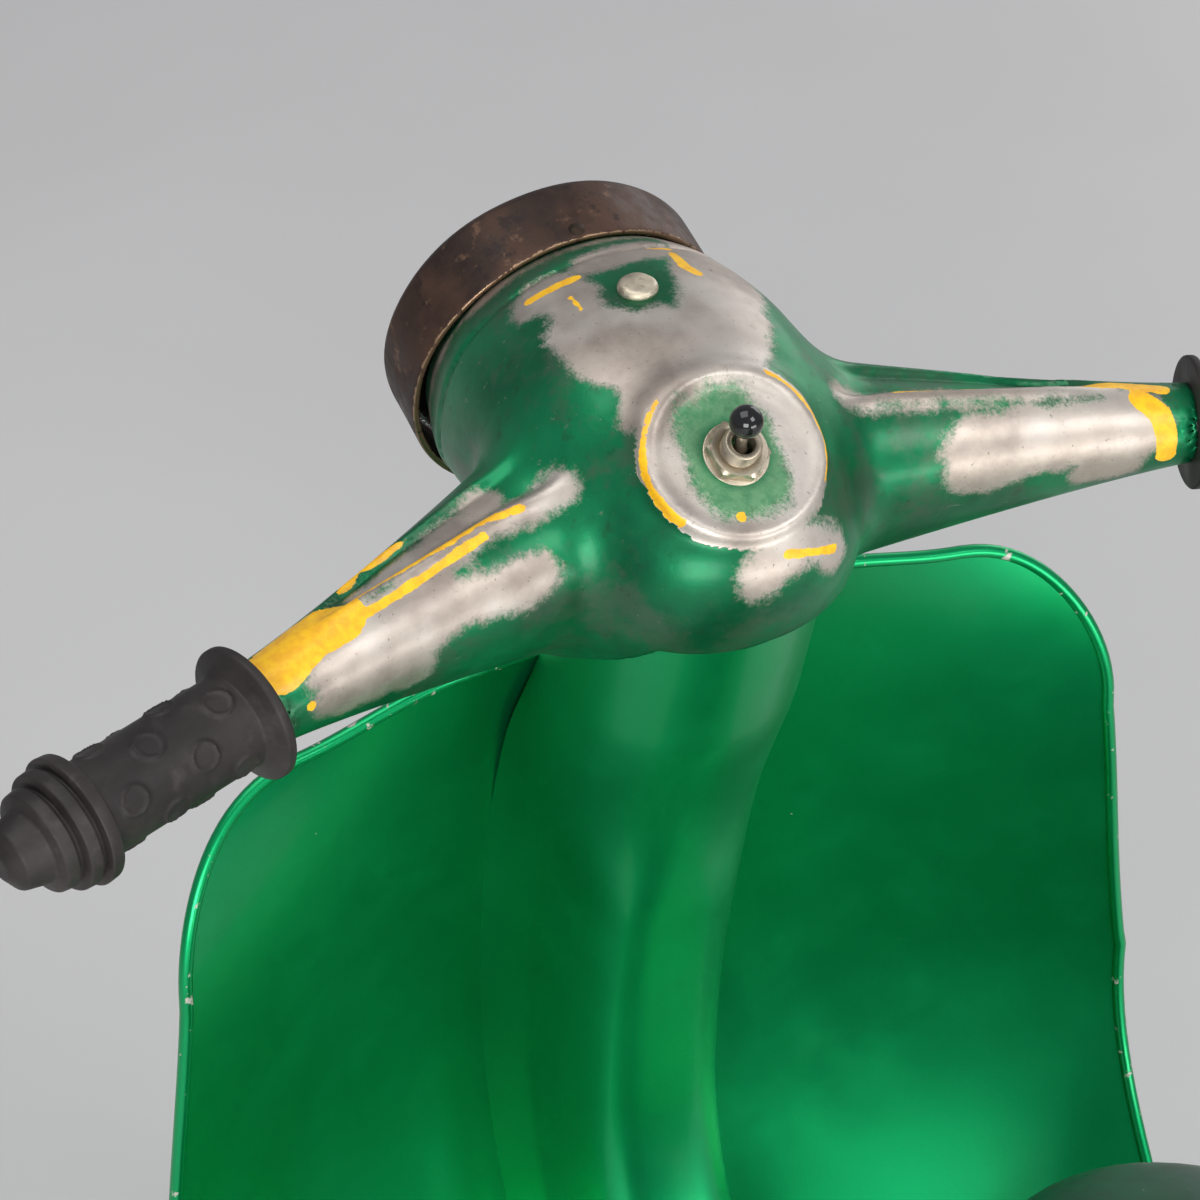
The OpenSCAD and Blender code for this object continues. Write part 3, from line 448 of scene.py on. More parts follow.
def worn_dark_green():
    """Dull dark green of the saddle, scratched, chipped and dirty."""
    s = Surface("worn_dark_green", Roughness=0.42, Metallic=0.1, Coat_Weight=0.2, Coat_Roughness=0.3)
    base = s.clouded((0.006, 0.045, 0.022), (0.010, 0.085, 0.040), s.noise(14, 5))
    base = s.layer(base, (0.030, 0.040, 0.026), 0.6, s.noise(90, 6, 0.7), 0.52, 0.72)
    marks = [s.mask(s.noise(26, 3, 0.5, stretch=stretch, twist=0.2), 0.685, 0.70)
             for stretch in ((1, 12, 1), (9, 1.5, 1), (6, 8, 1))]
    scratch = s.math("MAXIMUM", s.math("MAXIMUM", marks[0], marks[1]), marks[2])
    chips = s.mask(s.noise(130, 6, 0.66), 0.70, 0.72)
    wear = s.math("MAXIMUM", s.part(0.8, scratch), chips)
    s.set("Base Color", s.mix(wear, base, (0.36, 0.37, 0.31)))
    s.set("Roughness", s.mask(s.noise(45, 5), 0.3, 0.7, 0.32, 0.6))
    s.bump(s.math("SUBTRACT", 1.0, wear), 0.12, 0.7).bump(s.noise(300, 3), 0.08, 0.3)
    return s.material


def frame_paint():
    """Dark green, with rust coming through."""
    s = Surface("frame_paint", Roughness=0.5, Metallic=0.1)
    base = s.clouded((0.006, 0.040, 0.020), (0.010, 0.070, 0.034), s.noise(25, 5))
    rust = s.mask(s.noise(60, 7, 0.7), 0.60, 0.66)
    base = s.mix(rust, base, (0.10, 0.040, 0.018))
    s.set("Base Color", base)
    s.set("Roughness", s.mask(s.math("ADD", rust, s.noise(90, 4)), 0.3, 1.4, 0.38, 0.85))
    s.bump(s.noise(420, 5, 0.7), 0.2, 0.5)
    return s.material


def rusted_steel():
    """Dark brown rust, rubbed bright on its edges."""
    s = Surface("rusted_steel", Roughness=0.55, Metallic=0.35)
    base = s.clouded((0.022, 0.010, 0.006), (0.080, 0.037, 0.021), s.noise(30, 5, 0.6), 0.32, 0.68)
    base = s.layer(base, (0.014, 0.007, 0.005), 0.75, s.noise(85, 7, 0.7), 0.55, 0.63)
    base = s.layer(base, (0.20, 0.105, 0.060), 0.6, s.noise(140, 6, 0.68), 0.58, 0.70)
    rubbed = s.mask(s.math("ADD", s.field("rubbed"), s.spread(s.noise(330, 6, 0.7), 3.2)), 0.35, 0.6)
    base = s.mix(rubbed, base, (0.33, 0.21, 0.13))
    s.set("Base Color", base)
    s.set("Metallic", s.mask(rubbed, 0.0, 1.0, 0.3, 0.8))
    s.set("Roughness", s.mask(s.math("ADD", s.noise(120, 5), s.part(-0.3, rubbed)), 0.1, 0.8, 0.33, 0.66))
    s.bump(s.noise(240, 7, 0.72), 0.35, 0.55).bump(s.noise(40, 4), 0.7, 0.2)
    return s.material


def metal(name, dark, pale, rough, rust=0.0, pitted=0.0, metallic=0.85):
    """Bare or plated metal, with rust spots that grow with the amount of rust."""
    s = Surface(name, Metallic=metallic)
    base = s.clouded(dark, pale, s.noise(60, 5))
    s.set("Base Color", s.layer(base, (0.12, 0.055, 0.028), rust, s.noise(190, 7, 0.7),
                                0.60 - 0.1 * rust, 0.66 - 0.1 * rust))
    s.set("Roughness", s.mask(s.noise(160, 5), 0.3, 0.7, rough, rough + 0.2))
    s.bump(s.noise(500, 5, 0.7), 0.1 + pitted, 0.5)
    return s.material


def rubber(name, dark, pale, rough, dust=0.3):
    """Dull rubber under patches of dust."""
    s = Surface(name, Metallic=0.0, Specular_IOR_Level=0.32)
    base = s.clouded(dark, pale, s.noise(35, 5))
    dusty = tuple(2.4 * c + 0.02 for c in pale)
    s.set("Base Color", s.layer(base, dusty, dust, s.noise(110, 6, 0.7), 0.5, 0.75))
    s.set("Roughness", s.mask(s.noise(90, 4), 0.3, 0.7, rough, rough + 0.15))
    s.bump(s.noise(700, 4, 0.6), 0.08, 0.5).bump(s.noise(90, 5), 0.2, 0.2)
    return s.material


def plastic(name, colour, rough):
    s = Surface(name, Metallic=0.0)
    s.set("Base Color", s.clouded(colour, tuple(1.5 * c + 0.004 for c in colour), s.noise(40, 4)))
    s.set("Roughness", s.mask(s.noise(120, 4), 0.3, 0.7, rough, rough + 0.08))
    s.bump(s.noise(500, 3), 0.03, 0.3)
    return s.material


def glass(name, colour, rough, ribs):
    """Slightly dirty clear or coloured glass with moulded ribs."""
    s = Surface(name, Transmission_Weight=0.85, IOR=1.5)
    s.set("Base Color", s.clouded(colour, tuple(0.86 * c for c in colour), s.noise(60, 5), 0.45, 0.7))
    s.set("Roughness", s.mask(s.noise(90, 6), 0.35, 0.7, rough, rough + 0.1))
    wave = s.node("TexWave", {"Vector": s.place, "Scale": ribs, "Distortion": 0.0},
                  bands_direction="Y").outputs[1]
    s.bump(wave, 0.4, 0.5)
    return s.material


GREEN_PAINT = green_paint("green_paint")
SHIELD_PAINT = green_paint("shield_paint", worn_fields=True)
HEADSET_PAINT = headset_paint()
WORN_DARK = worn_dark_green()
FRAME_PAINT = frame_paint()
RUST = rusted_steel()
BARE_STEEL = metal("bare_steel", (0.30, 0.27, 0.24), (0.52, 0.48, 0.43), 0.3, 0.35)
DULL_NICKEL = metal("dull_nickel", (0.36, 0.31, 0.23), (0.66, 0.58, 0.45), 0.38, 0.45, 0.25)
ZINC = metal("zinc_steel", (0.34, 0.33, 0.31), (0.56, 0.55, 0.52), 0.34, 0.3)
SWITCH_METAL = metal("switch_metal", (0.40, 0.34, 0.25), (0.68, 0.60, 0.47), 0.26, 0.25)
CHROME = metal("reflector_chrome", (0.75, 0.75, 0.74), (0.86, 0.86, 0.85), 0.08, metallic=1.0)
DARK_STEEL = metal("dark_steel", (0.020, 0.014, 0.010), (0.060, 0.042, 0.030), 0.5, 0.4)
BRASS = metal("brass_holder", (0.45, 0.30, 0.10), (0.62, 0.44, 0.16), 0.3, 0.2)
WHEEL_PAINT = metal("wheel_paint", (0.40, 0.39, 0.36), (0.58, 0.57, 0.53), 0.36, 0.4, metallic=0.5)
TAIL_CHROME = metal("tail_chrome", (0.5, 0.5, 0.49), (0.66, 0.66, 0.64), 0.2, 0.25)
GRIP_RUBBER = rubber("grip_rubber", (0.016, 0.013, 0.0125), (0.030, 0.025, 0.023), 0.46, 0.3)
TYRE_RUBBER = rubber("tyre_rubber", (0.010, 0.010, 0.010), (0.022, 0.021, 0.020), 0.6, 0.45)
MAT_RUBBER = rubber("mat_rubber", (0.014, 0.013, 0.012), (0.030, 0.028, 0.026), 0.55, 0.4)
BLACK_PLASTIC = plastic("black_plastic", (0.012, 0.012, 0.012), 0.42)
GLOSS_BLACK = plastic("gloss_black", (0.004, 0.004, 0.004), 0.07)
CLEAR_GLASS = glass("clear_glass", (0.93, 0.96, 0.95), 0.03, 90)
BULB_GLASS = glass("bulb_glass", (0.96, 0.95, 0.90), 0.02, 5)
RED_LENS = glass("red_lens", (0.55, 0.01, 0.008), 0.08, 110)

# ---------- headset casting ----------
# The nacelle is swept about a pivot: its far and near radius, half width and squareness at each turn.
PIVOT = np.array([91.2, 519.5])
SOCKET_R = 32.0
NECK_TOP = 595.0
WALL = 4.0
OUTER = [(84.9, 104.3), (104.5, 131), (119, 153), (136.7, 172), (143, 170), (152, 152), (160, 138),
         (171, 127), (180, 124.2)]
INNER = [(84.9, 9.3), (104.5, 14), (125, 26), (145, 38), (165, 50), (180, 58.2)]
HALF_W = [(84.9, 47.5), (104.5, 53), (119, 54), (136.7, 51), (152, 47), (166, 40), (180, 33)]
SQUARE = [(84.9, 2.0), (100, 2.3), (119, 2.5), (136.7, 2.3), (152, 2.2), (166, 2.0), (180, 2.0)]
TURNS = np.linspace(78, 186, 433)
NACELLE = [through(table, TURNS) for table in (OUTER, INNER, HALF_W, SQUARE)]

FLANGE = np.array([-23.6, 156.6, 613.2])
SWEEP, RISE = math.radians(18.3), math.radians(4)
ARM_AXES = np.array([
    (math.cos(SWEEP), math.sin(SWEEP), 0),
    (math.sin(RISE) * math.sin(SWEEP), -math.sin(RISE) * math.cos(SWEEP), math.cos(RISE)),
    (math.cos(RISE) * math.sin(SWEEP), -math.cos(RISE) * math.cos(SWEEP), -math.sin(RISE))])
ARM_LEN = 128
BAR_R = 11

BOSS_AT = np.array([-9.1, 0, 646.4])
BOSS_AXES = tilted(-17)
BOSS_L, BOSS_W = 27.0, 28.5
CROWN_AT = np.array([58.8, 0, 646.5])
CROWN_AXES = tilted(15)
DRUM_AXES = tilted(5.1)
DRUM_CENTRE = np.array([PIVOT[0], 0, PIVOT[1] - 0.5]) + np.array([-6, 0, 56.8]) @ DRUM_AXES


def power_oval(a, b, ra, rb, n):
    """Roughly the distance to a squared oval."""
    a, b = np.abs(a / ra) + 1e-6, np.abs(b / rb) + 1e-6
    e = (a**n + b**n) ** (1 / n)
    slope = np.sqrt((a ** (n - 1) / ra) ** 2 + (b ** (n - 1) / rb) ** 2) * e ** (1 - n) + 1e-9
    return (e - 1) / slope


def smin(a, b, k):
    h = np.clip(0.5 + 0.5 * (b - a) / k, 0, 1)
    return b * (1 - h) + a * h - k * h * (1 - h)


def smax(a, b, k):
    return -smin(-a, -b, k)


def local(points, at, axes):
    """Coordinates of the points along the axes of a place on the casting."""
    return np.moveaxis((points - at) @ axes.T, -1, 0)


def nacelle(points):
    """Distance to the swept nacelle."""
    dx, dz = points[..., 0] - PIVOT[0], points[..., 2] - PIVOT[1]
    turn = np.degrees(np.arctan2(dz, dx))
    turn = np.where(turn < -90, turn + 360, turn)
    far, near, half_w, n = [np.interp(turn, TURNS, t) for t in NACELLE]
    return power_oval(np.hypot(dx, dz) - (far + near) / 2, points[..., 1], (far - near) / 2, half_w, n)


def arm_place(points):
    """Coordinates on the nearer arm, whose Z runs inwards from the grip's flange."""
    half = points.copy()
    half[..., 1] = np.abs(half[..., 1])
    return local(half, FLANGE, ARM_AXES)


def arm(x, y, z):
    """Distance to an arm, which widens towards the nacelle."""
    u = np.clip(z / ARM_LEN, 0, 1.15)
    wide, up, down = 12.5 + 18.5 * u**1.4, 12.5 + 15 * u**1.2, 12.5 + 40 * u
    return power_oval(x + u, y, wide, np.where(y > 0, up, down), 2)


def hand_hold(x, y, z):
    """The shallow scoop along the top of each arm, with the ridges beside it."""
    rear = np.interp(z, (30, 65, 95, 112), (5, 2.2, 0, -3.5))
    front = np.interp(z, (30, 43, 60, 112), (10, 14, 16, 16))
    v = (x - rear) / (front - rear)
    along = smoothstep(24, 46, z) * (1 - smoothstep(100, 120, z))
    scoop = 3.2 * smoothstep(0, 0.22, v) * (1 - smoothstep(0.72, 1.05, v))
    ridge = 1.4 * np.exp(-(((x - rear + 1.5) / 3) ** 2))
    return along * smoothstep(0, 7, y) * (scoop - ridge)


def chin_cut(points, grow):
    """Above 0 where the casting is cut away round the neck and behind it."""
    rad, z = np.hypot(points[..., 0], points[..., 1]), points[..., 2]
    ring = np.minimum(NECK_TOP + grow - z, 42.5 + grow - rad)
    top = NECK_TOP + grow - np.maximum(np.abs(points[..., 1]) - 30, 0) * 1.8
    return np.maximum(ring, 0.8 * np.minimum(top - z, -points[..., 0]))


def drum_place(points):
    """Along the drum from its rear edge, and out from its centre line."""
    ahead, up = [(points - DRUM_CENTRE) @ DRUM_AXES[i] for i in (0, 2)]
    return ahead, np.hypot(up, points[..., 1])


def casting(points):
    """Distance to the headset's surface, below 0 in its metal, at points of the steering frame."""
    rad, z = np.hypot(points[..., 0], points[..., 1]), points[..., 2]
    ax, ay, az = arm_place(points)
    body, limb = nacelle(points), arm(ax, ay, az)
    arm_blend, socket_top, bore_deep = 12, 600, 64
    shell = smin(body, limb, arm_blend) + hand_hold(ax, ay, az)
    shell = smax(shell, chin_cut(points, 0), 3)
    shell = np.minimum(shell, np.maximum(rad - SOCKET_R, z - socket_top))

    # The switch's boss: an oval pad with a rounded edge, and a shallow dish in its top
    pad_edge, pad_deep, dish_l, dish_w = 2.2, 22, 23.5, 24
    bx, by, bz = local(points, BOSS_AT, BOSS_AXES)
    side = (np.hypot(bx / BOSS_L, by / BOSS_W) - 1) * BOSS_L + pad_edge
    top = bz + 1.0
    pad = np.minimum(np.maximum(side, top), 0) + np.hypot(np.maximum(side, 0), np.maximum(top, 0))
    pad = np.maximum(pad - pad_edge, -bz - pad_deep)
    shell = smin(shell, pad, 3 + 10 * smoothstep(-5, 25, bx))
    dish = (np.hypot(bx / dish_l, by / dish_w) - 1) * dish_l
    shell = smax(shell, -smax(dish, 0.85 - bz, 4), 2.5)

    # The groove and step behind the drum, and the pocket of the crown bolt
    ahead, _ = drum_place(points)
    seam = ahead + 12.5 + 2.5 * np.abs(points[..., 1]) / 50
    shell = shell + 0.9 * np.exp(-((seam / 0.9) ** 2)) - 0.5 * smoothstep(-0.5, 0.5, seam)
    cx, cy, cz = local(points, CROWN_AT, CROWN_AXES)
    shell = smax(shell, -np.maximum(np.hypot(cx, cy) - 7.6, -cz + 0.2), 1.2)

    hollow = smin(body, limb, arm_blend) + np.maximum(hand_hold(ax, ay, az), 0) + WALL
    hollow = np.maximum(hollow, chin_cut(points, WALL))
    hollow = np.minimum(hollow, np.maximum(rad - SOCKET_R + WALL, z - socket_top - 3))
    bore = np.maximum(np.hypot(ax, ay) - BAR_R - 0.05, az - bore_deep)
    shell = np.maximum(np.maximum(shell, -hollow), -bore)
    return np.maximum(np.maximum(shell, ahead - 6), -az)


# Where the paint is worn through, where its primer shows and where it has stayed on. Each stroke is a
# radius and the points of the casting that it runs through, in the steering frame.
BARE_STROKES = [
    (9, [(71, 23, 638), (51, 21, 646), (31, 19, 651), (14, 17, 655)]),
    (11, [(82, -37, 623), (53, -26, 644), (30, -15, 652), (16, -1, 657), (12, 8, 654)]),
    (10, [(39, 7, 651), (30, 0, 653)]),
    (4, [(79, 5, 638), (80, -6, 637), (79, -18, 635)]),
    (3.5, [(-42, 5, 629), (-40, -1, 632), (-38, -11, 633), (-37, -17, 631), (-38, -21, 627)]),
    (2.2, [(7, 48, 632), (5, 64, 629), (2, 78, 629)]),
    (9, [(-11, 91, 626), (-17, 104, 624), (-22, 118, 623), (-27, 128, 619)]),
    (4, [(-14, 63, 620), (-15, 80, 622), (-15, 97, 624)]),
    (4, [(-29, 133, 618), (-28, 120, 613), (-25, 107, 610)]),
    (3.5, [(-2, 114, 625), (2, 101, 626), (6, 88, 627), (12, 77, 627), (15, 70, 627)]),
    (1.8, [(10, -50, 632), (2, -83, 628), (-6, -106, 627), (-13, -130, 626)]),
    (9, [(-18, -83, 620), (-19, -100, 622), (-21, -117, 623), (-25, -133, 623)]),
    (4, [(-28, -121, 610), (-30, -129, 611)])]
YELLOW_STROKES = [
    (9, [(-19, 148, 624), (-12, 136, 625), (-10, 126, 626)]),
    (1.5, [(-6, 118, 626), (-3, 104, 627), (0, 91, 628), (4, 77, 629), (5, 61, 630)]),
    (1.5, [(-14, 127, 626), (-11, 112, 627), (-7, 99, 627), (-3, 86, 628), (0, 75, 629)]),
    (2, [(-2, 124, 622), (9, 111, 616), (11, 102, 619), (13, 93, 622)]),
    (2.2, [(8, -65, 629), (2, -92, 627), (-4, -116, 625), (-10, -136, 624), (-17, -148, 625)]),
    (3.5, [(-18, -139, 626), (-25, -143, 624), (-30, -143, 621), (-33, -143, 614)]),
    (1.8, [(74, 28, 634), (74, 21, 637), (74, 13, 639)]),
    (0.8, [(66, 19, 642), (61, 19, 644), (58, 19, 644)]),
    (1.2, [(81, -16, 635), (79, -22, 634)]),
    (1.8, [(75, -21, 637), (66, -20, 641), (61, -22, 643)]),
    (1.5, [(-27, 6, 641), (-27, 6, 641)]),
    (1.5, [(-39, -5, 633), (-38, -22, 627)]),
    (1.5, [(-31, 141, 618), (-31, 141, 618)])]
PAINT_STROKES = [
    (8, [(60, 34, 637), (49, 41, 636), (31, 37, 643), (20, 31, 647)]),
    (4, [(-3, 55, 628), (-7, 77, 627)]),
    (2.5, [(-7, 69, 626), (-8, 86, 627)]),
    (2.2, [(4, -57, 630), (-4, -89, 628), (-10, -108, 627), (-14, -127, 626)]),
    (3, [(-30, 145, 622), (-29, 140, 621)]),
    (12, [(58.8, 1, 646.5), (58.8, -1, 646.5)])]


def stroke_field(points, strokes):
    """Depth inside the nearest stroke, negative outside all of them."""
    best = np.full(len(points), -60.0)
    for radius, path in strokes:
        for a, b in zip(np.array(path[:-1], float), np.array(path[1:], float)):
            run = b - a
            t = np.clip((points - a) @ run / max(run @ run, 1e-6), 0, 1)[:, None]
            best = np.maximum(best, radius - np.linalg.norm(points - a - t * run, axis=1))
    return best


WORN_MORE = 2.4


def headset():
    """The casting, with fields on its points for the bare metal, the primer and the thinned paint."""
    points, faces = surface_net(casting, (-92, -168, 478), (108, 168, 668), 1.3)
    bare = stroke_field(points, BARE_STROKES) + WORN_MORE

    # The boss is bare round its edge, and inside a squared oval it keeps its thinned paint
    edge_l, edge_w, kept_l, kept_w, squareness = 25, 26, 23.5, 16, 2.8
    bx, by, bz = local(points, BOSS_AT, BOSS_AXES)
    oval = np.hypot(bx / edge_l, by / edge_w)
    on_boss = (bz > -3.5) & (oval < 1.16)
    bare = np.where(on_boss, np.maximum(bare, (1.17 - oval) * edge_w), bare)
    inner = 1 - (np.abs(bx / kept_l) ** squareness
                 + np.abs((by - 1.2) / kept_w) ** squareness) ** (1 / squareness)
    bare = np.where(on_boss, np.minimum(bare, -inner * 15), bare)
    thinned = np.where(on_boss, smoothstep(-0.1, 0.25, inner) * smoothstep(9, 13, np.hypot(bx, by)), 0)
    ahead, out = drum_place(points)
    bare = np.maximum(bare, np.where(out > 40, 0.4 - np.abs(ahead + 2.5), -9))
    bare = np.minimum(bare, -stroke_field(points, PAINT_STROKES))
    strip = np.where((ahead > -11) & (ahead < -1), 0.3 - 0.35 * np.abs(ahead + 7), -9)
    yellow = np.maximum(stroke_field(points, YELLOW_STROKES), strip - 1.2)
    edge = np.where(on_boss & (bx > -16) & (np.abs(by) > 17), 0.75 - np.abs(oval - 1.09) * edge_w, -9)
    yellow = np.maximum(yellow, edge)
    piece("headset_casting", steered(points), faces, "steering", "worn_green_paint", HEADSET_PAINT,
          ["headset_shell"], fields={"bare": bare, "yellow": yellow, "thinned": thinned})


headset()

# ---------- headlight, crown bolt and switch ----------
def drum_points(points):
    """Points of a lathe about the drum's centre line, in the row frame."""
    axes = np.array([-DRUM_AXES[2], (0, 1, 0), DRUM_AXES[0]])
    return steered(placed(points, DRUM_CENTRE, axes))


def lathed(name, profile, place, body, slot, surface, replaced, steps=96, crease=35, fields=None):
    points, faces = lathe(profile, steps)
    return piece(name, place(points), faces, body, slot, surface, replaced, crease, fields)


DRUM_R, DRUM_DEPTH = 55.0, 27.0


def densified(outline, step):
    """A closed outline with more points along its long sides."""
    return np.array([p for a, b in zip(outline, np.roll(outline, -1, 0))
                     for p in np.linspace(a, b, max(1, int(np.hypot(*(b - a)) / step)), endpoint=False)])


def headlight():
    """Steel drum round the lamp, slightly dented, with its edges rubbed."""
    r, depth = DRUM_R, DRUM_DEPTH
    profile = fillet([(r - 2.5, 0.3), (r - 0.3, 0), (r, 1.2), (r, depth * 0.33), (r, depth * 0.66),
                      (r, depth - 3), (r - 2, depth), (r - 7, depth), (r - 7, depth - 2),
                      (r - 2.5, depth - 4)], 1.2, True, 3)
    points, faces = lathe(densified(profile, 2.5), 180)
    h, rad, turn = points[:, 2], np.hypot(points[:, 0], points[:, 1]), np.arctan2(points[:, 1], points[:, 0])
    dent = 0.35 * np.sin(3 * turn + 0.6) * np.sin(h / 13) + 0.2 * np.sin(7 * turn + h / 9)
    points[:, :2] *= (1 + 0.8 * dent / r)[:, None]
    rubbed = np.where(rad > r - 4, 0.9 - np.minimum(h, depth - h) / 1.1, -1)
    piece("drum_shell", drum_points(points), flipped(faces), "steering", "rusted_steel", RUST,
          ["headlight_drum"], fields={"rubbed": rubbed})


def pitted_head(radius, height, rows=14, steps=72, bumps=0.0, seed=3):
    """A worn, slightly dented domed head above z = 0."""
    rng = np.random.default_rng(seed)
    a = np.linspace(0, np.pi / 2, rows)
    profile = [(0.97 * radius, -0.6)] + [(radius * math.cos(t) ** 0.32, height * math.sin(t)) for t in a[:-1]]
    profile.append((0.02, height))
    points, faces = lathe(profile, steps, closed=False)
    for x, y in rng.uniform(-radius, radius, (9, 2)):
        near = np.exp(-((points[:, 0] - x) ** 2 + (points[:, 1] - y) ** 2) / (0.09 * radius**2))
        points[:, 2] -= bumps * near * (points[:, 2] > 0.3 * height)
    top = len(profile) - 1
    faces.append(tuple(i * len(profile) + top for i in range(steps)))
    return points, faces


NUT_FLATS, NUT_CORNERS = 17.0, 19.5


def small_fittings():
    """Crown bolt, and the toggle switch's washer, nut, threaded bush and body."""
    head, faces = pitted_head(6.3, 2.6, bumps=0.28)
    shank, shank_faces = lathe(fillet([(0.1, -13), (3, -13), (3, 0.5), (0.1, 0.5)], 0.5), 32)
    points, faces = join((head, faces), (shank, flipped(shank_faces)))
    piece("crown_bolt_head", steered(placed(points, CROWN_AT, CROWN_AXES)), faces, "steering",
          "dull_nickel", DULL_NICKEL, ["crown_bolt"], 40)

    def on_boss(points):
        return steered(placed(points, BOSS_AT, BOSS_AXES))

    washer = fillet([(6.05, 0), (10.2, 0), (10.2, 1.2), (6.05, 1.2)], 0.35, True)
    lathed("switch_washer_ring", washer, on_boss, "steering", "dull_nickel", SWITCH_METAL, ["switch_washer"])
    first_corner, steps = math.radians(8), 96
    turn = np.linspace(0, 2 * np.pi, steps, endpoint=False)
    flat = NUT_FLATS / 2 / np.cos((turn - first_corner) % (np.pi / 3) - np.pi / 6)
    rows = []
    for limit, h in ((NUT_CORNERS / 2, 1.25), (NUT_CORNERS / 2, 4.1), (NUT_CORNERS / 2 - 1.2, 4.9)):
        r = np.minimum(flat, limit)
        rows.append(np.stack([r * np.cos(turn), r * np.sin(turn), np.full(steps, h)], -1))
    for r, h in ((7.0, 4.95), (6.05, 4.5), (6.05, 1.25)):
        rows.append(np.stack([r * np.cos(turn), r * np.sin(turn), np.full(steps, h)], -1))
    points = np.concatenate(rows)
    piece("switch_hex_nut", on_boss(points), grid_faces(len(rows), steps, True, True), "steering",
          "dull_nickel", SWITCH_METAL, ["switch_nut"], 30)

    thread = [(6.0 if i % 2 else 5.55, -5.5 + i * 0.66) for i in range(22)]
    bush = [(3.7, -5.5)] + thread + [(5.4, 9.3), (4.6, 9.5), (3.7, 9.2)]
    points, faces = lathe(bush, 64)
    half_l, half_w, foot, tall = 15, 11, -26.0, 21
    rows = []
    for h, inset in ((0, 1), (1, 0), (tall - 1, 0), (tall, 1)):
        x, y = half_l - inset, half_w - inset
        outline = fillet([(-x, -y), (x, -y), (x, y), (-x, y)], 2.5, True)
        rows.append(np.column_stack([outline, np.full(len(outline), foot + h)]))
    points, faces = join((points, flipped(faces)), skin(rows))
    piece("switch_housing", on_boss(points), faces, "steering", "dull_nickel", SWITCH_METAL,
          ["switch_body"], 35)


LEVER_AT = BOSS_AT + np.array([0, 0, 5.0]) @ BOSS_AXES
LEVER_AXES = tilted(16) @ BOSS_AXES


def switch_stick():
    """The switch's lever and the black ball on its end."""
    def on_lever(points):
        return steered(placed(points, LEVER_AT, LEVER_AXES))

    stick = fillet([(0.05, -2.4), (1.9, -1.6), (2.3, 0), (1.7, 1.6), (1.7, 9.5), (0.05, 9.5)], 0.8)
    lathed("switch_stick", stick, on_lever, "toggle", "dull_nickel", SWITCH_METAL, ["switch_lever"], 48)
    ball = [(5.1 * math.cos(t), 12.6 + 5.1 * math.sin(t)) for t in np.linspace(-0.95, np.pi / 2 - 0.01, 22)]
    points, faces = lathe([(1.72, 8.6), (2.6, 8.2)] + ball[1:], 72, closed=False)
    piece("switch_ball", on_lever(points), faces, "toggle", "gloss_black_plastic", GLOSS_BLACK,
          ["switch_knob"])


# ---------- grips ----------
GRIP_LEN, GRIP_R, GRIP_FLANGE = 89.0, 14.5, 21.0
BUMP_R = 4.9


def grip(side, node):
    """Moulded grip: flange, barrel with rows of raised rings, then steps down to the tip."""
    end = GRIP_LEN
    barrel = [(GRIP_R, h) for h in np.arange(7.2, end - 31, 0.7)]
    head = fillet([(BAR_R + 0.05, 0), (GRIP_FLANGE, 0), (GRIP_FLANGE, 2.8), (GRIP_FLANGE - 3.6, 4.4),
                   (GRIP_R, 6.2), barrel[0]], 0.8)
    # Each step as how far it lies inside the flange, and how far short of the end
    steps_down = [(1.4, 28.4), (1, 24.2), (4.6, 24), (4.6, 22.6), (2.6, 22.3), (2.9, 18.2), (7, 18),
                  (7, 16.6), (5.2, 16.3), (5.8, 12.2), (9.4, 11), (11.5, 3.4)]
    tail = fillet([barrel[-1], (GRIP_R, end - 30), *[(GRIP_FLANGE - a, end - b) for a, b in steps_down],
                   (4.5, end - 0.2), (0.05, end), (0.05, end - 13.5), (BAR_R + 0.05, end - 13.5)], 0.7)
    profile = np.concatenate([head, barrel[1:-1], tail])
    steps = 220
    points, faces = lathe(profile, steps)
    rad, h = np.hypot(points[:, 0], points[:, 1]), points[:, 2]
    turn = np.arctan2(points[:, 1], points[:, 0])
    lift = np.zeros(len(points))
    rows, around = 4, 4
    for i in range(rows):
        for j in range(around):
            at = 2 * np.pi * (j + 0.5 * (i % 2)) / around
            across = ((turn - at + np.pi) % (2 * np.pi) - np.pi) * GRIP_R
            d = np.hypot(across, h - (13.4 + i * 12.4))
            lift += 0.6 * np.exp(-(((d - BUMP_R + 0.7) / 0.6) ** 2)) + 0.2 * (d < BUMP_R - 0.7)
    moved = (rad > GRIP_R - 0.6) & (h > 6.5) & (h < end - 30.5)
    points[:, :2] *= (1 + np.where(moved, lift, 0) / np.maximum(rad, 1))[:, None]
    points[:, 2] *= -1
    placed_points = placed(points, FLANGE, ARM_AXES)
    if side < 0:
        placed_points[:, 1] *= -1
        faces = flipped(faces)
    piece(node + "_moulding", steered(placed_points), faces, "steering", "black_rubber", GRIP_RUBBER,
          [node], 50)


headlight()
small_fittings()
switch_stick()
grip(1, "grip_left")
grip(-1, "grip_right")

# ---------- leg shield, spine, floor ----------
FRONT_AXLE = sum(cad("front_axle")) / 2
REAR_AXLE = sum(cad("rear_axle")) / 2
WHEEL_R = FRONT_AXLE[2]
SHIELD_TOP = cad("leg_shield")[1][2]
FLOOR_Z = cad("floorboard")[1][2]
ARC_LOW, ARC_HIGH = 206.0, 440.0
ARC_Z = FLOOR_Z + ARC_LOW
SHIELD_X = FRONT_AXLE[0] - 82
FLOOR_X = SHIELD_X - ARC_LOW
FLOOR_BACK, FLOOR_HALF_W = cad("floorboard")[0][0], cad("floorboard")[1][1]
SHEET = 1.8


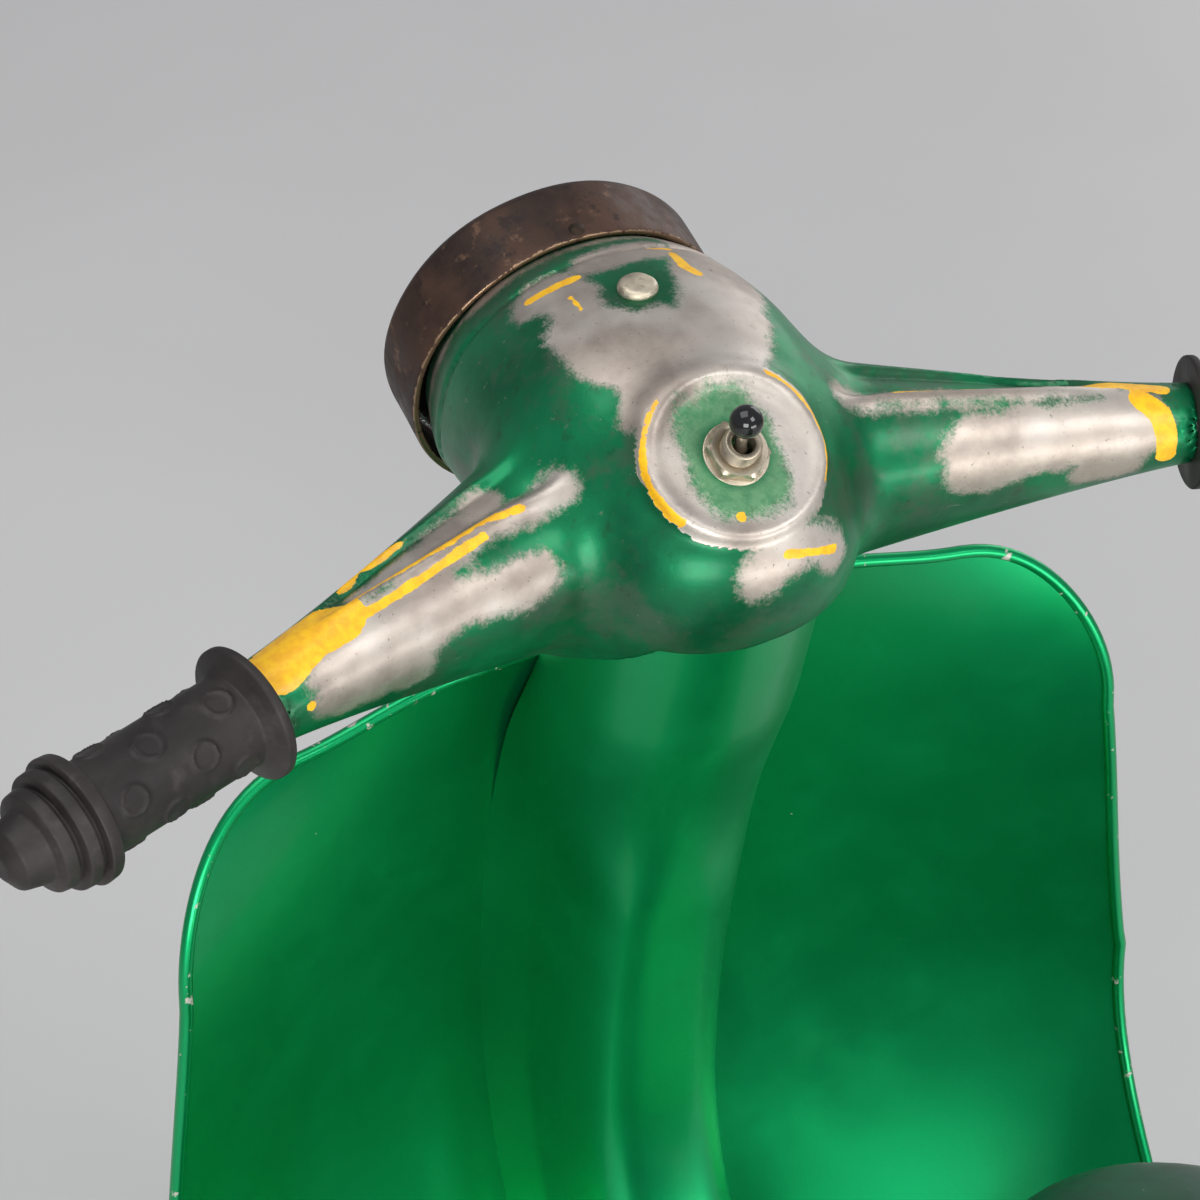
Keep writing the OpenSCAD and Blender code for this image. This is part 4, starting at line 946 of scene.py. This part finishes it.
def path(a):
    """The sheet's rider-side line: a < 0 up the tall arc, 90 where the floor begins."""
    c, s = math.cos(math.radians(a)), math.sin(math.radians(a))
    x = SHIELD_X - ARC_HIGH * (1 - c) if a < 0 else FLOOR_X + ARC_LOW * c
    return x, ARC_Z - (ARC_HIGH if a < 0 else ARC_LOW) * s


def angle_at(z):
    """Where on the sheet's line a height is reached, as path() counts it."""
    if z > ARC_Z:
        return -math.degrees(math.asin((z - ARC_Z) / ARC_HIGH))
    return math.degrees(math.asin((ARC_Z - z) / ARC_LOW))


SIDE_BOW, FOOT_BOW = 0.0022, 0.004


def bow(a):
    """How fast the sheet falls back to its sides, as a factor of the square of the distance."""
    if a < 0:
        return SIDE_BOW * (1 - 0.8 * ((path(a)[1] - ARC_Z) / (SHIELD_TOP - ARC_Z)) ** 4)
    c, s = math.cos(math.radians(a)), math.sin(math.radians(a))
    return (SIDE_BOW + FOOT_BOW * s * s) * c


# Half width of the sheet at its foot, where each top corner starts, and that corner's size
FOOT_HALF_W, CORNER_Y, CORNER_W, CORNER_H = 187, 118, 53, 68


def shield_half_w(a):
    """Half the sheet's width: rounded top corners, a slow flare, then narrowing to the floor."""
    drop = SHIELD_TOP - path(a)[1]
    if a >= 0:
        return blend(FOOT_HALF_W, FLOOR_HALF_W, smoothstep(25, 90, a))
    if drop < CORNER_H:
        return CORNER_Y + CORNER_W * math.sqrt(max(0, 1 - (1 - drop / CORNER_H) ** 2))
    return CORNER_Y + CORNER_W + 0.128 * (drop - CORNER_H)


TOP_CROWN = 9.5


def sheet_point(a, y, out=0.0):
    """A point of the leg shield, whose top edge is gently crowned in the middle."""
    x, z = path(a)
    turn = math.radians(max(a, 0))
    crown = TOP_CROWN * (1 - smoothstep(62, 124, abs(y))) * smoothstep(SHIELD_TOP - 90, SHIELD_TOP, z)
    return x - bow(a) * y * y + out * math.cos(turn), y, z - out * math.sin(turn) + crown


def leg_shield():
    """The bowed sheet, with its edge rolled over a wire all the way round."""
    top = angle_at(SHIELD_TOP - 0.05)
    drops = [(SHIELD_TOP - 0.05 - ARC_Z) * u**1.5 for u in np.linspace(0, 1, 46)]
    turns = [angle_at(SHIELD_TOP - 0.05 - d) if d < SHIELD_TOP - ARC_Z - 1 else 0 for d in drops]
    turns += list(np.linspace(2, 90, 40))
    cols = 96
    front, back, edge = [], [], []
    for a in turns:
        ys = shield_half_w(a) * np.linspace(-1, 1, cols + 1)
        front += [sheet_point(a, y, SHEET) for y in ys]
        back += [sheet_point(a, y) for y in ys]
        edge += [max(10 - (shield_half_w(a) - abs(y)), 10 - (SHIELD_TOP - path(a)[1])) for y in ys]
    n, rows = cols + 1, len(turns)
    points = np.array(back + front)
    faces = grid_faces(rows, n)
    faces += [tuple(i + rows * n for i in reversed(f)) for f in faces]
    # The head tube passes through a hole in the sheet
    head_hole_r, head_hole_top = 21.5, 420
    s = to_steering(points)
    in_hole = (np.hypot(s[:, 0], s[:, 1]) < head_hole_r) & (s[:, 2] < head_hole_top)
    faces = [f for f in faces if not in_hole[list(f)].any()]
    outline = [(a, shield_half_w(a)) for a in reversed(turns)]
    outline += [(top, y) for y in np.linspace(shield_half_w(top), -shield_half_w(top), 60)[1:-1]]
    outline += [(a, -shield_half_w(a)) for a in turns]
    rim = [sheet_point(a, y, SHEET / 2 + 0.4) for a, y in outline]
    rim_points, rim_faces = tube(rim, 2.3, 12)
    edge = np.array(edge + edge + [9.0] * len(rim_points))
    points, faces = join((points, faces), (rim_points, rim_faces))
    piece("shield_sheet", points, faces, "chassis", "green_paint", SHIELD_PAINT, ["leg_shield"], 60,
          fields={"edge": edge})


SPINE_W, SPINE_D, NECK_R, NECK_REACH = 34.0, 72.0, 41.0, 66.5
NECK_CENTRE, NECK_SIDE = 24.1, 0.09


def spine_arch(a, inset, steps=44):
    """Section of the spine at a place on the shield, round where it meets the neck."""
    flare = smoothstep(520, SHIELD_TOP, path(a)[1])
    half_w, depth = blend(SPINE_W, NECK_R, flare), blend(SPINE_D, NECK_REACH, flare)
    e = blend(0.5, 0.9, flare)
    x, z = path(a)
    base = bow(a) * half_w**2 + 0.9
    t = np.radians(np.linspace(0, 180, steps + 1))
    p = base + (depth - inset - base) * np.maximum(np.sin(t), 0) ** e
    foot = 7 * (1 - flare) * np.exp(-(((p - base) / 7) ** 2)) * (inset == 0)
    y = (half_w - inset) * power(np.cos(t), e) * (1 - 0.11 * (1 - flare) * p / depth)
    y = y + np.sign(np.cos(t)) * foot
    u = np.linspace(0, 1, steps + 1)
    round_t = np.clip((u - NECK_SIDE) / (1 - 2 * NECK_SIDE), 0, 1) * np.pi
    side = np.clip(np.minimum(u, 1 - u) / NECK_SIDE, 0, 1)
    neck_y = (NECK_R - inset) * np.cos(round_t)
    neck_p = blend(base, NECK_CENTRE, side) + (NECK_REACH - NECK_CENTRE - inset) * np.sin(round_t)
    p, y = blend(p, neck_p, flare), blend(y, neck_y, flare)
    turn = math.radians(max(a, 0))
    return np.stack([x - p * math.cos(turn), y, z + p * math.sin(turn)], -1)


NECK_LAP = 0.63
COLLAR_FOOT, COLLAR_TOP = SHIELD_TOP - 1.5, NECK_TOP - 2


def collar_point(turn, radius, u):
    """A point of the collar, at a share u of the way up from its level foot."""
    x, y = radius * np.cos(turn), radius * np.sin(turn)
    foot = (COLLAR_FOOT - STEER_FOOT[2] - x * STEER_X[2]) / STEER_Z[2]
    return steered(np.stack([x, y, foot + u * (COLLAR_TOP - foot)], -1))


def neck_arc(u, inset, steps=44):
    """The pressing's section where it wraps the collar, open at the front."""
    s = np.linspace(0, 1, steps + 1)
    round_t = np.clip((s - NECK_SIDE) / (1 - 2 * NECK_SIDE), 0, 1) * np.pi
    side = np.clip(np.minimum(s, 1 - s) / NECK_SIDE, 0, 1)
    round_t = round_t - NECK_LAP * (1 - side) * np.sign(0.5 - s)
    return collar_point(np.pi / 2 + round_t, NECK_R - inset, u)


def neck_bend(inset, low_z=SHIELD_TOP - 34, u=0.3):
    """Sections from the collar down to the spine, with one smooth bend between them."""
    high, low = neck_arc(u, inset), spine_arch(angle_at(low_z), inset)
    reach = np.linalg.norm(high - low, axis=1)[:, None]
    lean_high = neck_arc(u + 0.1, inset) - high
    lean_low = low - spine_arch(angle_at(low_z - 4), inset)
    lean_high, lean_low = [v / np.linalg.norm(v, axis=1)[:, None] * reach for v in (lean_high, lean_low)]
    rows = [neck_arc(v, inset) for v in np.linspace(0.985, u, 12)]
    for t in np.linspace(1, 0, 20)[1:-1]:
        rows.append((3 * t**2 - 2 * t**3) * high + (2 * t**3 - 3 * t**2 + 1) * low
                    + (t**3 - t**2) * lean_high + (t**3 - 2 * t**2 + t) * lean_low)
    return rows


def spine_and_neck():
    """One pressing over the spine and neck, and the collar inside its top."""
    top = angle_at(SHIELD_TOP - 34)
    turns = list(top * (1 - np.linspace(0, 1, 36) ** 1.2)) + list(np.linspace(2, 90, 40))
    outer = neck_bend(0) + [spine_arch(a, 0) for a in turns]
    inner = neck_bend(1.6) + [spine_arch(a, 1.6) for a in turns]
    rows = [np.concatenate([a, b[::-1]]) for a, b in zip(outer, inner)]
    run = FLOOR_BACK + 0.3 - FLOOR_X
    rows += [rows[-1] + (run * s, 0, 0) for s in (0.25, 0.5, 0.75, 1)]
    points, faces = skin(rows, ends="thin")
    radius, wall = NECK_R - 1.7, 2.4
    turn = np.linspace(0, 2 * np.pi, 128, endpoint=False)
    profile = [(0, 0.0), (0, 0.3), (0, 0.7), (0, 0.965), (-0.3, 0.99), (-wall / 2, 1.0), (-wall + 0.3, 0.99),
               (-wall, 0.965), (-wall, 0.5), (-wall, 0.0)]
    collar = [collar_point(turn, radius + dr, u) for dr, u in profile]
    parts = join((points, flipped(faces)),
                 (np.concatenate(collar), grid_faces(len(profile), 128, True, True)))
    piece("spine_pressing", *parts, "chassis", "green_paint", GREEN_PAINT, ["spine_cover", "neck_cover"], 50)


NOSE_LOW, NOSE_HIGH = 290, 470


def nose_arch(z, inset, steps=30):
    """Level section of the nose cover, which narrows towards its top."""
    a = angle_at(z)
    u = (z - NOSE_LOW) / (NOSE_HIGH - NOSE_LOW)
    half_w = blend(42, 15, u**1.4) - inset
    sheet_x = path(a)[0] + SHEET / max(math.cos(math.radians(max(a, 0))), 0.3) + 0.3
    foot_x = STEER_FOOT[0] - (NOSE_LOW - STEER_FOOT[2]) * STEER_X[2] / STEER_X[0] + 27
    front = blend(foot_x, path(angle_at(NOSE_HIGH))[0] + 5.2, u**0.85) - inset
    t = np.radians(np.linspace(0, 180, steps + 1))
    y = half_w * power(np.cos(t), 0.8)
    base = sheet_x - bow(a) * y * y
    return np.stack([base + (front - base) * np.maximum(np.sin(t), 0) ** 0.7, y, np.full(len(t), z)], -1)


def nose_cover():
    """The pressing in front of the shield, open towards it."""
    rows = [np.concatenate([nose_arch(z, 0), nose_arch(z, 2)[::-1]])
            for z in np.linspace(NOSE_HIGH, NOSE_LOW, 40)]
    points, faces = skin(rows, ends="thin")
    piece("nose_pressing", points, faces, "chassis", "green_paint", GREEN_PAINT, ["nose_cover"], 45)


def floor_mats():
    """The floor's rubber strips, each with rounded ribs across it."""
    low, high = cad("floor_strips")
    half, tall = 4.0, high[2] - low[2]
    section = fillet([(-half, 0), (0.6 - half, tall), (half - 0.6, tall), (half, 0)], 1.2)
    parts = []
    for side in (-1, 1):
        for y in (62, 86, 110, 134):
            rows = []
            for x in np.linspace(low[0], high[0], 61):
                end = min(x - low[0], high[0] - x)
                scale = 0.55 + 0.45 * min(1, end / 2.5)
                rib = 0.25 * math.cos((x - low[0]) * 2 * math.pi / 5)
                rows.append([(x, side * y + q * (0.8 + 0.2 * scale),
                              low[2] + h * scale + (rib if h > tall / 2 else 0)) for q, h in section])
            parts.append(skin(rows))
    points, faces = join(*parts)
    piece("floor_ribs", points, faces, "chassis", "black_rubber", MAT_RUBBER, ["floor_strips"], 50)


def floor_pan():
    """Floor sheet with turned-down sides and a gently rolled edge."""
    low, high = cad("floorboard")
    section = [(-FLOOR_HALF_W + 0.2, -13.5)]
    section += [(-FLOOR_HALF_W + 4 * (1 - math.cos(t)) * 0.8, -4 + 4 * math.sin(t))
                for t in np.linspace(0, np.pi / 2, 7)]
    section += [(y, 0) for y in np.linspace(-FLOOR_HALF_W + 8, FLOOR_HALF_W - 8, 40)]
    section += [(-y, z) for y, z in reversed(section[:8])]
    section = np.array(section)
    centre = np.array([0, -60])
    inner = section - SHEET * (section - centre) / np.linalg.norm(section - centre, axis=1)[:, None]
    ring = np.concatenate([section, inner[::-1]])
    rows = [np.column_stack([np.full(len(ring), x), ring[:, 0], FLOOR_Z + ring[:, 1]])
            for x in np.linspace(high[0], low[0], 24)]
    points, faces = skin(rows, ends="thin")
    edge = np.maximum(10 - (FLOOR_HALF_W - np.abs(points[:, 1])), 0)
    piece("floor_pan", points, faces, "chassis", "green_paint", SHIELD_PAINT, ["floorboard"], 50,
          fields={"edge": edge})


leg_shield()
spine_and_neck()
nose_cover()
floor_pan()
floor_mats()

# ---------- rear body and saddle ----------
BODY_FRONT = cad("body_bulkhead")[1][0] + 1
BODY_TAIL = cad("tail_lamp_base")[1][0]
BODY_W, BODY_TOP, BODY_LEAN = 128.0, 587.0, 38.0


def body_arch(u, inset, steps=64):
    """Section of the rear body, from u = 0 at its front to 1 at the tail."""
    stern = max((u - 0.72) / 0.28, 0)
    round_in = math.sqrt(1 - max(1 - u / 0.07, 0) ** 2 * 0.22)
    wide = blend(blend(104, BODY_W, smoothstep(0, 0.45, u)), 84, smoothstep(0.45, 0.95, u))
    wide *= math.sqrt(1 - 0.88 * stern**2) * round_in
    top = (BODY_TOP - 212 * smoothstep(0.4, 1.04, u) ** 1.1) * blend(1, round_in, 0.35) - inset
    low = 203 + 112 * u**3.2
    t = np.radians(np.linspace(0, 180, steps + 1))
    rise = np.maximum(np.sin(t), 0) ** 0.75
    waist = 1 - 0.26 * smoothstep(0.45, 1.05, rise) + 0.05 * np.sin(np.pi * np.minimum(rise * 1.3, 1))
    x = BODY_FRONT - u * (BODY_FRONT - BODY_TAIL) + BODY_LEAN * (1 - u) ** 3 * rise
    return np.stack([x, (wide - inset) * power(np.cos(t), 0.62) * waist, low + (top - low) * rise], -1)


def rear_body():
    """The body shell, with a rolled hem along its foot and round its open front."""
    us = np.linspace(0, 1, 72) ** 1.25
    rows = [np.concatenate([body_arch(u, 0), body_arch(u, 1.8)[::-1]]) for u in us]
    points, faces = skin(rows, ends="thin")
    low_edge = [body_arch(u, 0)[0] + (0, -0.6, 0) for u in us]
    far_edge = [p * (1, -1, 1) for p in low_edge]
    hem_a, hem_b = tube(low_edge, 2.2, 10), tube(far_edge, 2.2, 10)
    front = tube([p + (-0.6, 0, 0) for p in body_arch(0, 0.6)], 2.0, 10)
    points, faces = join((points, faces), hem_a, hem_b, front)
    # The saddle bolts pass through a hole in the top
    bolt_hole_r, bolt_x = 14, sum(cad("saddle_bolts"))[0] / 2
    opening = (np.hypot(points[:, 0] - bolt_x, points[:, 1]) < bolt_hole_r) & (points[:, 2] > 500)
    faces = [f for f in faces if not opening[list(f)].any()]
    edge = np.maximum(10 - (points[:, 2] - np.interp(points[:, 0], [p[0] for p in low_edge][::-1],
                                                     [p[2] for p in low_edge][::-1])), 0)
    piece("body_pressing", points, faces, "chassis", "green_paint", SHIELD_PAINT, ["rear_body"], 60,
          fields={"edge": edge})


SADDLE_TOP, SADDLE_CROWN, SADDLE_LOW = cad("saddle")[1][2], 39.5, cad("saddle")[0][2]
SADDLE_NOSE, SADDLE_REAR = FRONT_AXLE[0] - 395, FRONT_AXLE[0] - 725


def saddle_ring(x, inset, low, steps=72):
    """Section of the saddle across its length: domed above, with straight sides down to its foot."""
    front = max((x - (SADDLE_NOSE - 120)) / 120, 0)
    rear = max((SADDLE_REAR + 70 - x) / 70, 0)
    s = math.sqrt(max(1 - front**2, 0)) * math.sqrt(max(1 - rear**2, 0))
    back = smoothstep(0, 1, (SADDLE_NOSE - 120 - x) / 120)
    half_w = blend(78, 92, back) * s - inset
    t = np.radians(np.linspace(0, 180, steps + 1))
    ring = np.stack([np.full(len(t), x), half_w * np.cos(t),
                     SADDLE_TOP - SADDLE_CROWN + (SADDLE_CROWN * s - inset) * np.sin(t)], -1)
    sides = np.linspace(low, SADDLE_TOP - SADDLE_CROWN, 6)[:-1]
    left = np.array([(x, half_w, z) for z in sides])
    return np.concatenate([left, ring, left[::-1] * (1, -1, 1)])


def saddle():
    """The domed saddle pressing, hollow beneath, with a rolled hem."""
    xs = blend(SADDLE_REAR + 0.8, SADDLE_NOSE - 0.8, (1 - np.cos(np.linspace(0, np.pi, 64))) / 2)
    outer = [saddle_ring(x, 0, SADDLE_LOW) for x in xs]
    inner = [saddle_ring(min(max(x, SADDLE_REAR + 14), SADDLE_NOSE - 14), 3, SADDLE_LOW) for x in xs]
    points, faces = skin([np.concatenate([a, b[::-1]]) for a, b in zip(outer, inner)], ends="thin")
    hem = [r[0] + (0, 0.6, 1.4) for r in outer] + [r[-1] + (0, -0.6, 1.4) for r in reversed(outer)]
    points, faces = join((points, faces), tube(hem, 2.1, 10))
    piece("saddle_pressing", points, faces, "chassis", "dark_green_paint", WORN_DARK, ["saddle"], 60)


# ---------- wheels and mudguard ----------
def wheel_points(points, centre):
    """Points of a lathe about an axle, in the row frame."""
    axes = np.array([(1, 0, 0), (0, 0, -1), (0, 1, 0)])
    return placed(points, centre, axes)


BEAD_R, TYRE_W = 76.0, 56.0


def tyre(node, body, centre):
    """Tyre with ribs, grooves and staggered shoulder blocks."""
    t = np.linspace(0, 2 * np.pi, 97)[:-1] + 0.01
    mid, half = (WHEEL_R + BEAD_R) / 2, (WHEEL_R - BEAD_R) / 2
    r = np.maximum(mid + half * power(np.sin(t), 0.8), BEAD_R)
    h = TYRE_W / 2 * power(np.cos(t), 0.72)
    steps = 432
    points, faces = lathe(np.stack([r, h], -1), steps)
    rad, y = np.hypot(points[:, 0], points[:, 1]), points[:, 2]
    turn = np.degrees(np.arctan2(points[:, 1], points[:, 0]))
    crown = rad > WHEEL_R - 9
    ribs = np.exp(-((y / 1.3) ** 2)) + np.exp(-(((np.abs(y) - 9.5) / 1.3) ** 2))
    phase = (turn + np.where(y > 0, 0, 5)) % 10
    cut = (phase < 2.4) & (np.abs(y) > 12)
    zig = ((turn + 2.5) % 5 < 0.9) & (np.abs(y) > 2.5) & (np.abs(y) < 8)
    depth = np.where(crown, 1.5 * ribs + 1.6 * cut + 0.8 * zig, 0)
    wall_rings = np.exp(-(((rad - 92) / 0.9) ** 2)) + np.exp(-(((rad - 84) / 0.9) ** 2))
    out = np.where(crown, 0, 0.5 * wall_rings)
    points[:, :2] *= (1 - depth / rad)[:, None]
    points[:, 2] += np.sign(y) * out
    piece(node + "_moulding", wheel_points(points, centre), faces, body, "tyre_rubber", TYRE_RUBBER,
          [node], 40)


def rim(node, body, centre):
    """Pressed disc with a rolled bead and six round holes."""
    section = fillet([(18.1, -6), (18.1, 6), (30, 6), (40, 2), (62, 2), (68, 17), (74.6, 19.4), (BEAD_R, 19),
                      (BEAD_R, -19), (74.6, -19.4), (68, -17), (62, -2), (40, -2), (30, -6)], 2.2, True)
    points, faces = lathe(densified(section, 1.6), 360)
    holes = [(51 * math.cos(t), 51 * math.sin(t)) for t in np.linspace(0, 2 * np.pi, 7)[:-1]]
    hole_r = 7.0
    flat = np.abs(points[:, 2]) < 2.4
    for x, y in holes:
        d = points[:, :2] - (x, y)
        gap = np.linalg.norm(d, axis=1)
        near = flat & (gap < hole_r + 2.5) & (gap >= hole_r - 0.4)
        pull = np.clip((hole_r + 2.5 - gap) / 2.9, 0, 1)[:, None]
        target = (x, y) + d / np.maximum(gap, 0.01)[:, None] * hole_r
        snap = near & (gap < hole_r + 0.75)
        points[:, :2] = np.where(snap[:, None], target, points[:, :2])
        points[:, 2] += np.where(near & ~snap, np.sign(points[:, 2]) * 0.5 * pull[:, 0], 0)
    inside = np.zeros(len(points), bool)
    for x, y in holes:
        inside |= flat & (np.hypot(points[:, 0] - x, points[:, 1] - y) < hole_r - 0.3)
    faces = [f for f in faces if not inside[list(f)].any()]
    collars = []
    for x, y in holes:
        collar, collar_faces = lathe(fillet([(hole_r - 0.6, -2.4), (hole_r + 1.0, -2.4), (hole_r + 1.0, 2.4),
                                             (hole_r - 0.6, 2.4)], 0.6, True), 40)
        collars.append((collar + (x, y, 0), collar_faces))
    points, faces = join((points, faces), *collars)
    piece(node + "_pressing", wheel_points(points, centre), faces, body, "wheel_paint", WHEEL_PAINT,
          [node], 50)


def mudguard():
    """Front mudguard with a raised centre line and rolled edges."""
    r, half, skirt, wall = WHEEL_R + 18, 36.0, 26.0, 2.0
    outer = fillet([(r - skirt, -half), (r - 8, -half), (r, -half + 12), (r, half - 12), (r - 8, half),
                    (r - skirt, half)], 10, False, 6)
    inner = fillet([(r - skirt, -half + wall), (r - 8.8, -half + wall), (r - wall, -half + 12.8),
                    (r - wall, half - 12.8), (r - 8.8, half - wall), (r - skirt, half - wall)], 9, False, 6)
    parts = [lathe(np.concatenate([outer, inner[::-1]]), 120, 165, 8)]
    turns = np.radians(np.linspace(8, 173, 90))
    for side in (-1, 1):
        rolled = [((r - skirt) * math.cos(t), (r - skirt) * math.sin(t), side * (half - 0.8)) for t in turns]
        parts.append(tube(rolled, 2.0, 10))
    for t in (turns[0], turns[-1]):
        lip = [(p[0] * math.cos(t), p[0] * math.sin(t), p[1]) for p in (outer * 0.5 + inner * 0.5)]
        parts.append(tube(lip, 1.8, 10))
    ridge = [((r - 0.2) * math.cos(t), (r - 0.2) * math.sin(t), 0) for t in turns]
    parts.append(tube(ridge, 2.2, 12))
    points, faces = join(*parts)
    axes = np.array([(1, 0, 0), (0, 0, 1), (0, -1, 0)])
    piece("mudguard_pressing", placed(points, FRONT_AXLE, axes), faces, "steering", "green_paint",
          GREEN_PAINT, ["front_mudguard"], 50)


rear_body()
saddle()
tyre("front_tyre", "front_wheel", FRONT_AXLE)
tyre("rear_tyre", "rear_wheel", REAR_AXLE)
rim("front_rim", "front_wheel", FRONT_AXLE)
rim("rear_rim", "rear_wheel", REAR_AXLE)
mudguard()

# ---------- materials of the CAD nodes that stay ----------
CAD_MATERIALS = {
    GREEN_PAINT: ["body_bulkhead"],
    FRAME_PAINT: ["main_frame", "rear_frame", "fork"],
    BARE_STEEL: ["saddle_base", "front_hub", "rear_hub", "stem_clamp"],
    ZINC: ["lower_cup", "upper_cup", "lower_cone", "upper_cone", "bearing_balls", "lock_nut", "saddle_bolts",
           "rear_axle", "rear_axle_nuts", "rear_spacers", "front_axle", "front_axle_nuts", "front_spacers",
           "stand_pin", "mudguard_bolt", "floor_rivets", "cover_screws", "bar_left", "bar_right",
           "centre_stand"],
    DARK_STEEL: ["drum_screw"],
    TAIL_CHROME: ["tail_lamp_base"],
    CHROME: ["headlight_reflector"],
    BRASS: ["bulb_holder"],
    BLACK_PLASTIC: ["battery_box"],
    CLEAR_GLASS: ["headlight_lens"],
    BULB_GLASS: ["bulb"],
    RED_LENS: ["tail_lamp_lens"],
    MAT_RUBBER: ["stand_feet"]}
for material, nodes in CAD_MATERIALS.items():
    for name in nodes:
        for slot in frame["nodes"][name].material_slots:
            slot.material = material


# ---------- camera, lights and floor ----------
CAMERA_AT = Vector((-0.5319, 0.4011, 1.3965))
CAMERA_LOOKS_AT = Vector((0.309, 0.0, 0.612))
CAMERA_LENS = 110.1


def make_camera():
    data = bpy.data.cameras.new("camera")
    data.lens = CAMERA_LENS
    data.sensor_width = 36
    data.clip_end = 50
    camera = bpy.data.objects.new("camera", data)
    camera.location = CAMERA_AT
    camera.rotation_euler = (CAMERA_LOOKS_AT - CAMERA_AT).to_track_quat("-Z", "Y").to_euler()
    bpy.context.scene.collection.objects.link(camera)
    bpy.context.scene.camera = camera


def make_light(name, at, target, size, power, colour=(1, 1, 1)):
    data = bpy.data.lights.new(name, "AREA")
    data.shape = "RECTANGLE"
    data.size, data.size_y = size
    data.energy = power
    data.color = colour
    light = bpy.data.objects.new(name, data)
    light.location = Vector(at)
    light.rotation_euler = (Vector(target) - Vector(at)).to_track_quat("-Z", "Y").to_euler()
    bpy.context.scene.collection.objects.link(light)


make_camera()
make_light("key", (-2.4, 1.5, 1.3), (0.25, 0, 0.6), (1.7, 1.3), 62)
make_light("top", (0.4, 0.5, 2.7), (0.2, 0, 0.4), (1.6, 1.6), 20)
make_light("back", (-1.2, -0.8, 2.1), (0.2, 0, 0.6), (0.9, 0.9), 16)
make_light("low", (-2.2, -0.8, 0.45), (0.2, 0, 0.3), (1.6, 0.6), 24)
make_light("fill", (1.6, -2.2, 1.2), (0.1, 0, 0.4), (1.5, 1.5), 14)
world = bpy.data.worlds.new("studio")
world.use_nodes = True
world.node_tree.nodes["Background"].inputs["Color"].default_value = (0.9, 0.93, 1, 1)
world.node_tree.nodes["Background"].inputs["Strength"].default_value = 0.35
bpy.context.scene.world = world
bpy.context.scene.view_settings.view_transform = "Standard"


def studio_floor():
    bpy.ops.mesh.primitive_plane_add(size=40)
    floor = bpy.context.object
    floor.name = "floor"
    s = Surface("floor", Roughness=0.8)
    s.set("Base Color", s.mix(s.noise(3, 3), (0.60, 0.59, 0.58), (0.66, 0.65, 0.64)))
    floor.data.materials.append(s.material)


studio_floor()
